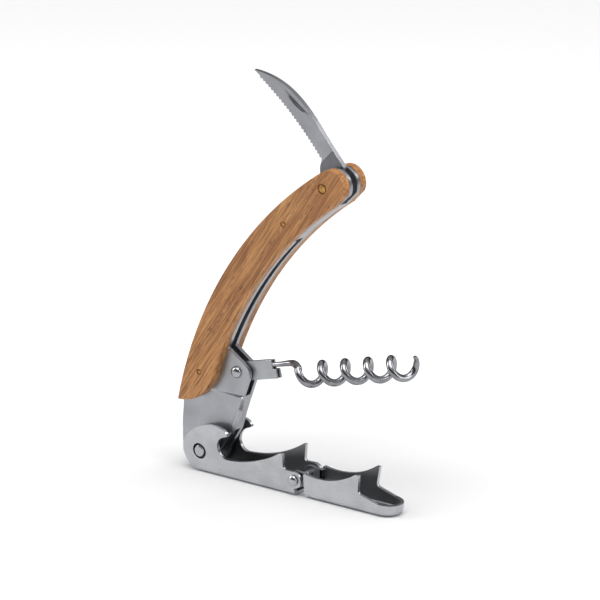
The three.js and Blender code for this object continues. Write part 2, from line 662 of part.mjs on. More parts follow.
function firstStageOutline() {
  const at = (x, z) => new THREE.Vector2(x, PIVOT_HEIGHT + z);
  const outline = new THREE.Shape();
  outline.moveTo(FIRST_LENGTH, 0);
  outline.lineTo(FIRST_LENGTH, STAGE_PIVOT_HEIGHT - EAR_RADIUS);
  outline.absarc(stagePivot.x, stagePivot.y, EAR_RADIUS, -Math.PI / 4, Math.PI / 2, false);
  outline.lineTo(FIRST_TOOTH_X, EAR_HEIGHT);
  outline.lineTo(FIRST_TOOTH_X, FIRST_TOOTH_HEIGHT);
  outline.lineTo(FIRST_TOOTH_X - FIRST_TOOTH_TIP, FIRST_TOOTH_HEIGHT);
  const notch = at(NOTCH_X, NOTCH_Z);
  const notchBottom = polar(notch, NOTCH_RADIUS, NOTCH_LOW_ANGLE);
  const saddle = new THREE.Vector2(
    (notchBottom.x + FIRST_TOOTH_X) / 2,
    notchBottom.y + (FIRST_TOOTH_HEIGHT - notchBottom.y) * SADDLE_SHARE,
  );
  arcThrough(outline, saddle, notchBottom);
  outline.absarc(notch.x, notch.y, NOTCH_RADIUS,
    rad(NOTCH_LOW_ANGLE), rad(NOTCH_HIGH_ANGLE), true);
  const hookTip = at(HOOK_TIP_X, HOOK_TIP_Z);
  outline.lineTo(hookTip.x, hookTip.y);
  outline.quadraticCurveTo(HOOK_TIP_X - HOOK_BACK, PIVOT_HEIGHT + HOOK_RISE,
    HOOK_X, PIVOT_HEIGHT + HOOK_RISE);
  const shoulder = polar(pivot, ARM_RADIUS, ARM_SHOULDER_ANGLE);
  const hookTop = at(HOOK_X, HOOK_RISE);
  arcThrough(outline, bowed(shoulder, hookTop, -SHOULDER_HOLLOW), shoulder);
  outline.absarc(pivot.x, pivot.y, ARM_RADIUS,
    rad(ARM_SHOULDER_ANGLE), rad(ARM_FOOT_ANGLE), false);
  outline.lineTo(WEB_START, 0);
  outline.closePath();
  return outline;
}

function firstStage() {
  const shell = channel(FIRST_BASE, FIRST_FLARE, LEVER_SHEET, -OVERSIZE, OVERSIZE);
  const outline = across(firstStageOutline(), -OVERSIZE, OVERSIZE, 8);
  const inside = FIRST_BASE - LEVER_SHEET;
  const openRear = block(-OVERSIZE, WEB_START, -inside, inside, -OVERSIZE, BEND_RADIUS);
  return shell.intersect(outline)
    .subtract(openRear)
    .subtract(hole(pivot, BUSH_RADIUS))
    .subtract(hole(stagePivot, STAGE_RIVET_RADIUS));
}

function secondStageOutline() {
  const outline = new THREE.Shape();
  const tooth = new THREE.Vector2(LEVER_LENGTH - SECOND_TOOTH_SETBACK, SECOND_TOOTH_HEIGHT);
  const saddle = new THREE.Vector2(STAGE_PIVOT_X + SECOND_SADDLE_X, SECOND_SADDLE_HEIGHT);
  const root = new THREE.Vector2(tooth.x - TOOTH_UNDERCUT, TOOTH_ROOT_HEIGHT);
  outline.moveTo(SECOND_START + BEND_RADIUS, 0);
  outline.lineTo(LEVER_LENGTH, 0);
  outline.lineTo(LEVER_LENGTH, SPOUT_HEIGHT);
  outline.lineTo(LEVER_LENGTH - SPOUT_SETBACK, SPOUT_HEIGHT);
  outline.lineTo(root.x + TOOTH_ROOT_ROUND, root.y);
  outline.lineTo(root.x, root.y + TOOTH_ROOT_ROUND);
  outline.lineTo(tooth.x, tooth.y);
  outline.lineTo(tooth.x - SECOND_TOOTH_TIP, tooth.y);
  arcThrough(outline, saddle, new THREE.Vector2(SECOND_START, SECOND_REAR_HEIGHT));
  outline.lineTo(SECOND_START, 2 * BEND_RADIUS);
  outline.quadraticCurveTo(SECOND_START + SECOND_HEEL, SECOND_HEEL_HEIGHT,
    SECOND_START + BEND_RADIUS, 0);
  outline.closePath();
  return outline;
}

// Nose in plan: a half circle as wide as the channel, open above like a spoon.
function spout(shrink) {
  const half = SECOND_BASE - shrink;
  const centre = LEVER_LENGTH - SECOND_BASE;
  const plan = new THREE.Shape();
  plan.moveTo(centre, -half);
  plan.absarc(centre, 0, half, -Math.PI / 2, Math.PI / 2, false);
  plan.lineTo(SECOND_START - half, half);
  plan.lineTo(SECOND_START - half, -half);
  plan.closePath();
  return plan;
}

function upright(plan, z0, z1) {
  const shape = new THREE.ExtrudeGeometry(cleaned(plan, 8), {
    depth: z1 - z0,
    bevelEnabled: false,
  });
  return solid(shape.translate(0, 0, z0));
}

function secondStage() {
  const centre = LEVER_LENGTH - SECOND_BASE;
  const shell = channel(SECOND_BASE, SECOND_FLARE, LEVER_SHEET, SECOND_START, centre);
  const outline = across(secondStageOutline(), -OVERSIZE, OVERSIZE, 8);
  const noseEnd = block(centre, LEVER_LENGTH, -SECOND_BASE, SECOND_BASE, 0, SPOUT_HEIGHT);
  const noseWall = upright(spout(0), 0, SPOUT_HEIGHT).intersect(noseEnd)
    .subtract(upright(spout(LEVER_SHEET), LEVER_SHEET, OVERSIZE));

  // Narrow knuckle: two cheeks that fit between the first stage's ears.
  const earInside = FIRST_BASE - LEVER_SHEET + FIRST_FLARE * (STAGE_PIVOT_HEIGHT - KNUCKLE_RADIUS);
  const cheekOuter = earInside - FACE_GAP;
  const cheekInner = cheekOuter - LEVER_SHEET;
  const cheekShape = new THREE.Shape();
  const rear = SECOND_START + LEVER_SHEET;
  const low = STAGE_PIVOT_HEIGHT - KNUCKLE_DROP;
  const high = STAGE_PIVOT_HEIGHT + KNUCKLE_RISE;
  cheekShape.absarc(stagePivot.x, stagePivot.y, KNUCKLE_RADIUS, Math.PI / 2, Math.PI * 1.7, false);
  cheekShape.lineTo(SECOND_START, low);
  cheekShape.lineTo(rear, low);
  cheekShape.lineTo(rear, high);
  cheekShape.closePath();
  const step = (side) => {
    const inner = side * cheekInner;
    const outer = side * cheekOuter;
    const wall = side * (SECOND_BASE + SECOND_FLARE * low);
    const cheek = across(cheekShape, Math.min(inner, outer), Math.max(inner, outer));
    const bulkhead = block(SECOND_START, rear, Math.min(inner, wall), Math.max(inner, wall),
      low, high);
    return cheek.add(bulkhead);
  };
  return shell.intersect(outline).add(noseWall).add(step(-1)).add(step(1))
    .subtract(hole(stagePivot, STAGE_RIVET_RADIUS));
}

// Leaf spring on the first stage's floor, its free end under the knuckle.
function stageSpring() {
  const end = STAGE_PIVOT_X - SPRING_SETBACK;
  const start = end - SPRING_LENGTH;
  const outline = polygon([
    [start, SPRING_FLOOR],
    [start + SPRING_TAB, SPRING_FLOOR],
    [end, SPRING_TIP - SPRING_THICKNESS],
    [end, SPRING_TIP],
    [start + SPRING_TAB, SPRING_FLOOR + SPRING_THICKNESS],
    [start, SPRING_FLOOR + SPRING_THICKNESS],
  ]);
  return across(outline, -SPRING_WIDTH / 2, SPRING_WIDTH / 2);
}

// ----------------------------------------------------------------------- lever pivot

const armInside = FIRST_BASE - LEVER_SHEET + FIRST_FLARE * PIVOT_HEIGHT;
const hubEnd = armInside + LEVER_SHEET * HUB_SHARE;

function pivotBush(side) {
  const bore = PIVOT_RIVET_RADIUS + PIN_GAP;
  const flange0 = FOOT_HALF_WIDTH + FACE_GAP;
  const flange1 = FLANGE_FACE;
  const profile = [
    [bore, side * flange0],
    [BUSH_FLANGE_RADIUS, side * flange0],
    [BUSH_FLANGE_RADIUS, side * flange1],
    [BUSH_RADIUS, side * flange1],
    [BUSH_RADIUS, side * hubEnd],
    [bore, side * hubEnd],
    [bore, side * flange0],
  ];
  return turned(side > 0 ? profile : profile.reverse(), pivot);
}

function pivotRivet() {
  const half = hubEnd + FACE_GAP;
  const end = half + PIVOT_HEAD_HEIGHT;
  return turned([
    [0, -end],
    [PIVOT_HEAD_RADIUS * HEAD_CORNER, -end],
    [PIVOT_HEAD_RADIUS, -half - PIVOT_HEAD_HEIGHT / 2],
    [PIVOT_HEAD_RADIUS, -half],
    [PIVOT_RIVET_RADIUS, -half],
    [PIVOT_RIVET_RADIUS, half],
    [PIVOT_HEAD_RADIUS, half],
    [PIVOT_HEAD_RADIUS, half + PIVOT_HEAD_HEIGHT / 2],
    [PIVOT_HEAD_RADIUS * HEAD_CORNER, end],
    [0, end],
  ], pivot);
}

function pivotSpacer() {
  const half = FOOT_HALF_WIDTH - FRAME_SHEET - FACE_GAP;
  return ring(pivot, PIVOT_RIVET_RADIUS + PIN_GAP, SPACER_RADIUS, -half, half);
}

// ---------------------------------------------------------------------- the assembly

add('frame_channel', frameBody(), brushed);
add('scale_left', woodScale(-1), wood);
add('scale_right', woodScale(1), wood);
add('blade_pivot_pin', scalePin(bladePivot, BLADE_PIN_RADIUS), brass);
add('scale_pin_upper', scalePin(upperPin, SCALE_PIN_RADIUS), brass);
add('scale_pin_lower', scalePin(lowerPin, SCALE_PIN_RADIUS), brass);
add('foil_blade', bladeBody(), bladeSteel);

placeOnWormPivot(add('worm', wormBody(), polished));
placeOnWormPivot(add('worm_holder', holderBody(), brushed));
add('worm_rivet', domedRivet(wormPivot, WORM_RIVET_RADIUS, FRAME_HALF + FACE_GAP,
  WORM_HEAD_RADIUS, WORM_HEAD_HEIGHT), brushed);

add('lever_first_stage', firstStage(), brushed);
add('pivot_rivet', pivotRivet(), brushed);
add('pivot_bush_left', pivotBush(-1), brushed);
add('pivot_bush_right', pivotBush(1), brushed);
add('pivot_spacer', pivotSpacer(), brushed);
add('stage_spring', stageSpring(), polished);

const earOutside = FIRST_BASE + FIRST_FLARE * (STAGE_PIVOT_HEIGHT + STAGE_HEAD_RADIUS);
add('stage_rivet', domedRivet(stagePivot, STAGE_RIVET_RADIUS, earOutside + FACE_GAP,
  STAGE_HEAD_RADIUS, STAGE_HEAD_HEIGHT), brushed);
add('lever_second_stage', secondStage(), brushed);

// Stand the corkscrew on the ground with the middle of its footprint at the origin.
corkscrew.updateMatrixWorld(true);
const extent = new THREE.Box3().setFromObject(corkscrew, true);
const middle = extent.getCenter(new THREE.Vector3());
corkscrew.position.set(-middle.x, -middle.y, -extent.min.z);
corkscrew.updateMatrixWorld(true);

export default corkscrew;
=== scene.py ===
# %% [markdown]
# A lever corkscrew, opened out and standing on its lever.
# The steel and wood of a real one are cut, folded, ground and riveted, and each piece
# below is made in that order: an outline first, then its thickness, then its edges.
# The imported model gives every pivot, so each new piece is placed from a hinge or a pin.

# %% Load the fixed frame
import math

import bpy
from mathutils import Matrix, Vector


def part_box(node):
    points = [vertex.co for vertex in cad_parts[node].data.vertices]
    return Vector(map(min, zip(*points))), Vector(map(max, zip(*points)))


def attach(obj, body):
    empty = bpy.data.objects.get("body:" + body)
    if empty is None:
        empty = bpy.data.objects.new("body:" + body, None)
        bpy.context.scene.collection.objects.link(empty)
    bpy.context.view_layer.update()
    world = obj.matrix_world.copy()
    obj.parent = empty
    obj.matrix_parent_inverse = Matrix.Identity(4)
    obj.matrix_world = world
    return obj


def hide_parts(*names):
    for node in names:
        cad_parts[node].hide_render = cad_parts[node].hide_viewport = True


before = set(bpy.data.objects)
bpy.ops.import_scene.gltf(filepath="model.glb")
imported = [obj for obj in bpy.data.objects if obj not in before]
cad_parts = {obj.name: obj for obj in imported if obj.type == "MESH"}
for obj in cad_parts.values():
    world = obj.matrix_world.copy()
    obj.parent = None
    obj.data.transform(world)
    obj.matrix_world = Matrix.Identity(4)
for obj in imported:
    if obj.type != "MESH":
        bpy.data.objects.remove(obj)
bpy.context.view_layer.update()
MM = 0.001


def middle_of(node):
    """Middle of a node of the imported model, in millimetres."""
    low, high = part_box(node)
    return (low + high) / 2 / MM


LEVER_PIVOT = middle_of("pivot_spacer")
WORM_PIVOT = middle_of("worm_rivet")
STAGE_PIVOT = middle_of("stage_rivet")
BLADE_PIVOT = middle_of("blade_pivot_pin")
UPPER_PIN = middle_of("scale_pin_upper")
LOWER_PIN = middle_of("scale_pin_lower")
print("lever pivot at", [round(v, 2) for v in LEVER_PIVOT], "mm")

# %% [markdown]
# The camera stands 1.5 m away with a long lens, as for a picture of goods: a long lens
# keeps the near and far side of the corkscrew almost the same size. It is aimed at a
# point near the middle of the object.

# %% Camera
CAMERA_AZIMUTH = math.radians(38.2)
CAMERA_HEIGHT = math.radians(17.0)
CAMERA_DISTANCE = 1.5
CAMERA_TARGET = Vector((-0.25, 0, 58.35)) * MM

bpy.ops.object.select_all(action="DESELECT")
bpy.ops.object.camera_add()
camera = bpy.context.object
camera.name = "camera"
towards_camera = Vector((
    math.sin(CAMERA_AZIMUTH) * math.cos(CAMERA_HEIGHT),
    -math.cos(CAMERA_AZIMUTH) * math.cos(CAMERA_HEIGHT),
    math.sin(CAMERA_HEIGHT),
))
camera.location = CAMERA_TARGET + towards_camera * CAMERA_DISTANCE
camera.rotation_euler = towards_camera.to_track_quat("Z", "Y").to_euler()
camera.data.lens = 310.5
camera.data.dof.use_dof = False
bpy.context.scene.camera = camera
print("camera looks from", [round(v, 3) for v in camera.location])

# %% [markdown]
# Bright metal shows what stands round it, so the studio matters as much as the steel.
# A pale floor and a pale room would make it white all over. Here the room is darker at
# the height of the horizon and pale above, which gives the steel its greys, while soft
# lamps overhead, at both sides and behind give it long clean highlights. What the camera
# sees of the room is white, and the floor is lifted to white away from the object.

# %% Studio floor, room and lamps
FLOOR_SIZE = 40.0
FLOOR_TONE = 0.75
FLOOR_LIFT = 0.32  # and its strength beside the object: the weaker lift there is painted shade, a soft grey round the object on top of the rendered shadow
FLOOR_LIFT_NEAR = 0.04  # and its strength beside the object, where the soft shadow shows
FLOOR_NEAR = 0.035  # distances from the middle of the object, in metres
FLOOR_FAR = 0.13
ROOM_STOPS = [(0.0, 0.5), (0.10, 0.05), (0.40, 0.10), (0.60, 0.60), (1.0, 0.95)]
ROOM_STRENGTH = 0.7


def pale_floor():
    bpy.ops.object.select_all(action="DESELECT")
    bpy.ops.mesh.primitive_grid_add(x_subdivisions=4, y_subdivisions=4, size=FLOOR_SIZE)
    floor = bpy.context.object
    floor.name = "studio_floor"
    paint = bpy.data.materials.new("studio_floor_paint")
    paint.use_nodes = True
    tree = paint.node_tree
    shader = tree.nodes["Principled BSDF"]
    shader.inputs["Base Color"].default_value = (FLOOR_TONE, FLOOR_TONE, FLOOR_TONE, 1)
    shader.inputs["Roughness"].default_value = 0.9
    shader.inputs["Specular IOR Level"].default_value = 0.1
    path = tree.nodes.new("ShaderNodeLightPath")
    place = tree.nodes.new("ShaderNodeTexCoord")
    away = tree.nodes.new("ShaderNodeVectorMath")
    away.operation = "LENGTH"
    tree.links.new(place.outputs["Object"], away.inputs[0])
    # Painted shade: the camera-only glow grows with distance, so the floor stays greyer round the object.
    painted_shade_falloff = tree.nodes.new("ShaderNodeMapRange")
    painted_shade_falloff.inputs["From Min"].default_value = FLOOR_NEAR
    painted_shade_falloff.inputs["From Max"].default_value = FLOOR_FAR
    painted_shade_falloff.inputs["To Min"].default_value = FLOOR_LIFT_NEAR
    painted_shade_falloff.inputs["To Max"].default_value = FLOOR_LIFT
    tree.links.new(away.outputs["Value"], painted_shade_falloff.inputs["Value"])
    lift = tree.nodes.new("ShaderNodeMath")
    lift.operation = "MULTIPLY"
    tree.links.new(painted_shade_falloff.outputs["Result"], lift.inputs[1])
    tree.links.new(path.outputs["Is Camera Ray"], lift.inputs[0])
    tree.links.new(lift.outputs[0], shader.inputs["Emission Strength"])
    shader.inputs["Emission Color"].default_value = (1, 1, 1, 1)
    floor.data.materials.append(paint)
    return floor


def room_light():
    """Pale overhead, grey round the horizon; what the camera sees directly is white."""
    world = bpy.data.worlds.new("studio_room")
    bpy.context.scene.world = world
    world.use_nodes = True
    tree = world.node_tree
    tree.nodes.clear()
    place = tree.nodes.new("ShaderNodeTexCoord")
    split = tree.nodes.new("ShaderNodeSeparateXYZ")
    ramp = tree.nodes.new("ShaderNodeValToRGB")
    room = tree.nodes.new("ShaderNodeBackground")
    white = tree.nodes.new("ShaderNodeBackground")
    path = tree.nodes.new("ShaderNodeLightPath")
    mix = tree.nodes.new("ShaderNodeMixShader")
    out = tree.nodes.new("ShaderNodeOutputWorld")
    ramp.color_ramp.elements[0].position = ROOM_STOPS[0][0]
    ramp.color_ramp.elements[1].position = ROOM_STOPS[-1][0]
    for position, _ in ROOM_STOPS[1:-1]:
        ramp.color_ramp.elements.new(position)
    for element, (_, tone) in zip(ramp.color_ramp.elements, ROOM_STOPS):
        element.color = (tone, tone, tone * 1.03, 1)
    white.inputs["Color"].default_value = (1, 1, 1, 1)
    white.inputs["Strength"].default_value = 1.0
    room.inputs["Strength"].default_value = ROOM_STRENGTH
    tree.links.new(place.outputs["Generated"], split.inputs[0])
    tree.links.new(split.outputs["Z"], ramp.inputs["Fac"])
    tree.links.new(ramp.outputs["Color"], room.inputs["Color"])
    tree.links.new(path.outputs["Is Camera Ray"], mix.inputs["Fac"])
    tree.links.new(room.outputs[0], mix.inputs[1])
    tree.links.new(white.outputs[0], mix.inputs[2])
    tree.links.new(mix.outputs[0], out.inputs["Surface"])


def soft_lamp(name, place, size, watts):
    bpy.ops.object.light_add(type="AREA", location=place)
    lamp = bpy.context.object
    lamp.name = name
    lamp.data.shape = "RECTANGLE"
    lamp.data.size, lamp.data.size_y = size
    lamp.data.energy = watts
    lamp.rotation_euler = (Vector(place) - CAMERA_TARGET).to_track_quat("Z", "Y").to_euler()
    return lamp


pale_floor()
room_light()
soft_lamp("lamp_overhead", (0.10, -0.15, 0.9), (0.7, 0.7), 6.0)
soft_lamp("lamp_left", (-0.75, -0.45, 0.45), (0.35, 0.7), 3.2)
soft_lamp("lamp_right", (0.85, -0.05, 0.40), (0.3, 0.6), 2.0)
soft_lamp("lamp_behind", (0.42, 0.70, 0.50), (0.22, 0.30), 1.0)
bpy.context.scene.view_settings.view_transform = "Standard"

# %% [markdown]
# Every flat piece starts as an outline. A tiny square is added and merged to one point,
# and that point is drawn along: extruding it makes a straight edge, and spinning it
# about a centre makes a true arc. Filling the closed line gives one clean face.

# %% A pen that draws outlines
ARC_STEP = 4.0  # degrees of arc for each edge of a large curve
MERGE_WITHIN = 2e-6  # metres
pen = {"at": Vector((0, 0, 0))}


def spot(x, z, y=0.0):
    """Millimetres along, up and across, as a place in metres."""
    return Vector((x, y, z)) * MM


def pen_start(name, x, z, y=0.0):
    """A new mesh with one point, open in edit mode."""
    if bpy.context.object and bpy.context.object.mode != "OBJECT":
        bpy.ops.object.mode_set(mode="OBJECT")
    bpy.ops.object.select_all(action="DESELECT")
    bpy.ops.mesh.primitive_plane_add(size=MM, location=spot(x, z, y))
    piece = bpy.context.object
    piece.name = name
    bpy.ops.object.transform_apply(location=True, rotation=True, scale=True)
    bpy.ops.object.mode_set(mode="EDIT")
    bpy.ops.mesh.select_mode(type="VERT")
    bpy.ops.mesh.select_all(action="SELECT")
    bpy.ops.mesh.merge(type="CENTER")
    pen["at"] = Vector((x, y, z))
    return piece


def pen_to(x, z, y=None):
    """Extrude the point in a straight line."""
    target = Vector((x, pen["at"].y if y is None else y, z))
    step = (target - pen["at"]) * MM
    if step.length < 1e-7:
        return
    bpy.ops.mesh.extrude_region_move(TRANSFORM_OT_translate={"value": step})
    pen["at"] = target


def pen_arc(cx, cz, degrees, steps=None):
    """Spin the point about a centre; positive degrees go round anticlockwise."""
    count = steps or max(2, math.ceil(abs(degrees) / ARC_STEP))
    bpy.ops.mesh.spin(steps=count, angle=math.radians(degrees),
                      center=spot(cx, cz, pen["at"].y), axis=(0, 1, 0))
    turned = Matrix.Rotation(math.radians(degrees), 2) @ Vector((
        pen["at"].x - cx, pen["at"].z - cz))
    pen["at"] = Vector((cx + turned.x, pen["at"].y, cz + turned.y))


def angle_of(x, z):
    return math.degrees(math.atan2(z, x))


def pen_arc_through(middle, end, steps):
    """Arc from the pen through a middle point to an end, by the circle they share."""
    start = Vector((pen["at"].x, pen["at"].z))
    a = Vector(middle) - start
    b = Vector(end) - start
    area = 2 * (a.x * b.y - a.y * b.x)
    centre = start + Vector((
        b.y * a.length_squared - a.y * b.length_squared,
        a.x * b.length_squared - b.x * a.length_squared)) / area
    first = angle_of(*(start - centre))
    last = angle_of(*(Vector(end) - centre))
    turn = (last - first) % 360
    if area < 0:
        turn -= 360
    pen_arc(centre.x, centre.y, turn, steps)


def pen_close():
    """Join the line's ends and fill it with one face."""
    bpy.ops.mesh.select_all(action="SELECT")
    bpy.ops.mesh.remove_doubles(threshold=MERGE_WITHIN)
    bpy.ops.mesh.edge_face_add()


def thicken(depth):
    """Give the filled outline its thickness across the object, in millimetres."""
    bpy.ops.mesh.extrude_region_move(TRANSFORM_OT_translate={"value": (0, depth * MM, 0)})
    bpy.ops.mesh.select_all(action="SELECT")
    bpy.ops.mesh.normals_make_consistent(inside=False)


def polar(centre, radius, degrees):
    turn = math.radians(degrees)
    return Vector((centre[0] + radius * math.cos(turn), centre[1] + radius * math.sin(turn)))


def nothing_picked(piece):
    """The piece's mesh in object mode, with nothing selected."""
    bpy.ops.object.mode_set(mode="OBJECT")
    for group in (piece.data.vertices, piece.data.edges, piece.data.polygons):
        group.foreach_set("select", [False] * len(group))
    return piece.data


def pick_edges(piece, wanted):
    """Select the edges for which wanted(a, b) holds, with their ends in millimetres."""
    mesh = nothing_picked(piece)
    for edge in mesh.edges:
        edge.select = wanted(*(mesh.vertices[i].co / MM for i in edge.vertices))
    bpy.ops.object.mode_set(mode="EDIT")
    bpy.ops.mesh.select_mode(type="EDGE")


def pick_points(piece, wanted):
    """Select the points for which wanted(p) holds, with p in millimetres."""
    for vertex in nothing_picked(piece).vertices:
        vertex.select = wanted(vertex.co / MM)
    bpy.ops.object.mode_set(mode="EDIT")
    bpy.ops.mesh.select_mode(type="VERT")


def apply_modifier(piece, kind, **settings):
    """Add one modifier with its settings and apply it at once."""
    if bpy.context.object and bpy.context.object.mode != "OBJECT":
        bpy.ops.object.mode_set(mode="OBJECT")
    bpy.ops.object.select_all(action="DESELECT")
    bpy.context.view_layer.objects.active = piece
    piece.select_set(True)
    modifier = piece.modifiers.new(kind.lower(), kind)
    for key, value in settings.items():
        setattr(modifier, key, value)
    bpy.ops.object.modifier_apply(modifier=modifier.name)


def cut(piece, tool, operation="DIFFERENCE"):
    """Cut a piece with a tool shape, or keep only what they share; the tool is used up."""
    apply_modifier(piece, "BOOLEAN", object=tool, operation=operation, solver="EXACT")
    bpy.data.objects.remove(tool)


def break_edges(piece, width, segments=2, angle=32):
    """Take the sharpness off every edge."""
    apply_modifier(piece, "BEVEL", width=width * MM, segments=segments,
                   limit_method="ANGLE", angle_limit=math.radians(angle),
                   use_clamp_overlap=True, miter_outer="MITER_ARC")


def finish(piece, body, nodes, materials, angle=35):
    """Smooth shading, materials, and the piece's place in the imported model."""
    if piece.mode != "OBJECT":
        bpy.ops.object.mode_set(mode="OBJECT")
    bpy.ops.object.select_all(action="DESELECT")
    bpy.context.view_layer.objects.active = piece
    piece.select_set(True)
    bpy.ops.object.shade_smooth_by_angle(angle=math.radians(angle))
    apply_modifier(piece, "WEIGHTED_NORMAL", keep_sharp=True)
    if not isinstance(materials, (list, tuple)):
        materials = [materials]
    for index, material in enumerate(materials):
        if index < len(piece.data.materials):
            piece.data.materials[index] = material
        else:
            piece.data.materials.append(material)
    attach(piece, body)
    if nodes:
        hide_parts(*nodes)
    low = [min(v.co[k] for v in piece.data.vertices) / MM for k in range(3)]
    high = [max(v.co[k] for v in piece.data.vertices) / MM for k in range(3)]
    size = [round(b - a, 2) for a, b in zip(low, high)]
    print(piece.name, "measures", size, "mm,", len(piece.data.polygons), "faces")
    return piece


# %% [markdown]
# Satin steel is full of fine parallel scratches from the brushing belt, with soft patches where it was
# pressed harder. Both are built once, as a group of shader nodes that stretches a noise along one direction,
# and every steel is given its own direction and depth.

# %% Shader helpers and the brushing group
FINE_RELIEF = 0.00002  # depths of relief, in metres
PIN_RELIEF = 0.00004
WOOD_RELIEF = 0.00006


def colour(red, green, blue):
    """A colour as seen on a screen, 0 to 255, as the light values that shaders use."""
    def light(v):
        v /= 255
        return v / 12.92 if v <= 0.04045 else ((v + 0.055) / 1.055) ** 2.4
    return (light(red), light(green), light(blue), 1.0)


def new_group(name, inputs, outputs):
    group = bpy.data.node_groups.new(name, "ShaderNodeTree")
    for label, kind, value in inputs:
        socket = group.interface.new_socket(name=label, in_out="INPUT", socket_type=kind)
        if value is not None:
            socket.default_value = value
    for label, kind in outputs:
        group.interface.new_socket(name=label, in_out="OUTPUT", socket_type=kind)
    entry = group.nodes.new("NodeGroupInput")
    end = group.nodes.new("NodeGroupOutput")
    return group, entry, end


def node(tree, kind, **settings):
    made = tree.nodes.new(kind)
    for key, value in settings.items():
        setattr(made, key, value)
    return made


def noise(tree, vector, scale, detail=2.0, roughness=0.5):
    made = node(tree, "ShaderNodeTexNoise")
    made.inputs["Scale"].default_value = scale
    made.inputs["Detail"].default_value = detail
    made.inputs["Roughness"].default_value = roughness
    tree.links.new(vector, made.inputs["Vector"])
    return made.outputs["Fac"]


def mapped(tree, vector, scale=(1, 1, 1), turn=(0, 0, 0)):
    """Turn first, then stretch: two mappings, so that the stretch follows the turned axes."""
    turned = node(tree, "ShaderNodeMapping")
    turned.inputs["Rotation"].default_value = turn
    tree.links.new(vector, turned.inputs["Vector"])
    stretched = node(tree, "ShaderNodeMapping")
    stretched.inputs["Scale"].default_value = scale
    tree.links.new(turned.outputs[0], stretched.inputs["Vector"])
    return stretched.outputs[0]


def math_node(tree, operation, a, b=None, clamp=False):
    made = node(tree, "ShaderNodeMath", operation=operation, use_clamp=clamp)
    for socket, value in zip(made.inputs, (a, b)):
        if value is None:
            continue
        if isinstance(value, (int, float)):
            socket.default_value = value
        else:
            tree.links.new(value, socket)
    return made.outputs[0]


def ranged(tree, value, low, high, to_low=0.0, to_high=1.0):
    made = node(tree, "ShaderNodeMapRange")
    for key, number in (("From Min", low), ("From Max", high),
                        ("To Min", to_low), ("To Max", to_high)):
        made.inputs[key].default_value = number
    tree.links.new(value, made.inputs["Value"])
    return made.outputs[0]


def blend_colours(tree, share, first, second):
    made = node(tree, "ShaderNodeMix", data_type="RGBA")
    sockets = {s.identifier: s for s in made.inputs}
    for key, value in (("Factor_Float", share), ("A_Color", first), ("B_Color", second)):
        if isinstance(value, (int, float, tuple)):
            sockets[key].default_value = value
        else:
            tree.links.new(value, sockets[key])
    return next(s for s in made.outputs if s.identifier == "Result_Color")


def bump_from(tree, height, distance, strength):
    """A normal from a height; the strength is a number or a socket."""
    bump = node(tree, "ShaderNodeBump")
    bump.inputs["Distance"].default_value = distance
    tree.links.new(height, bump.inputs["Height"])
    if isinstance(strength, float):
        bump.inputs["Strength"].default_value = strength
    else:
        tree.links.new(strength, bump.inputs["Strength"])
    return bump.outputs[0]


def brushing_group():
    group, entry, end = new_group(
        "brushing",
        [("Vector", "NodeSocketVector", None), ("Height", "NodeSocketFloat", 0.2)],
        [("Streak", "NodeSocketFloat"), ("Patch", "NodeSocketFloat"), ("Normal", "NodeSocketVector")])
    along = mapped(group, entry.outputs["Vector"], scale=(260, 9000, 9000))
    streak = noise(group, along, 1.0, detail=3.0, roughness=0.65)
    patch = noise(group, entry.outputs["Vector"], 150.0, detail=2.0)
    normal = bump_from(group, streak, FINE_RELIEF, entry.outputs["Height"])
    group.links.new(streak, end.inputs["Streak"])
    group.links.new(patch, end.inputs["Patch"])
    group.links.new(normal, end.inputs["Normal"])
    return group


BRUSHING = brushing_group()


# %% [markdown]
# Handling polishes the edges of a tool before its faces. A second group finds the edges by
# comparing the true surface with one whose corners are rounded a little, and gives a mask
# that each steel uses to brighten and smooth its rims.

# %% Edge wear group
def edge_group():
    group, entry, end = new_group(
        "edge_wear", [("Reach", "NodeSocketFloat", 0.0003)], [("Mask", "NodeSocketFloat")])
    rounded = node(group, "ShaderNodeBevel", samples=6)
    group.links.new(entry.outputs["Reach"], rounded.inputs["Radius"])
    surface = node(group, "ShaderNodeNewGeometry")
    dot = node(group, "ShaderNodeVectorMath", operation="DOT_PRODUCT")
    group.links.new(rounded.outputs[0], dot.inputs[0])
    group.links.new(surface.outputs["Normal"], dot.inputs[1])
    mask = ranged(group, dot.outputs["Value"], 0.995, 0.90)
    group.links.new(mask, end.inputs["Mask"])
    return group


EDGE_WEAR = edge_group()


def base_material(name):
    material = bpy.data.materials.new(name)
    material.use_nodes = True
    tree = material.node_tree
    return material, tree, tree.nodes["Principled BSDF"]


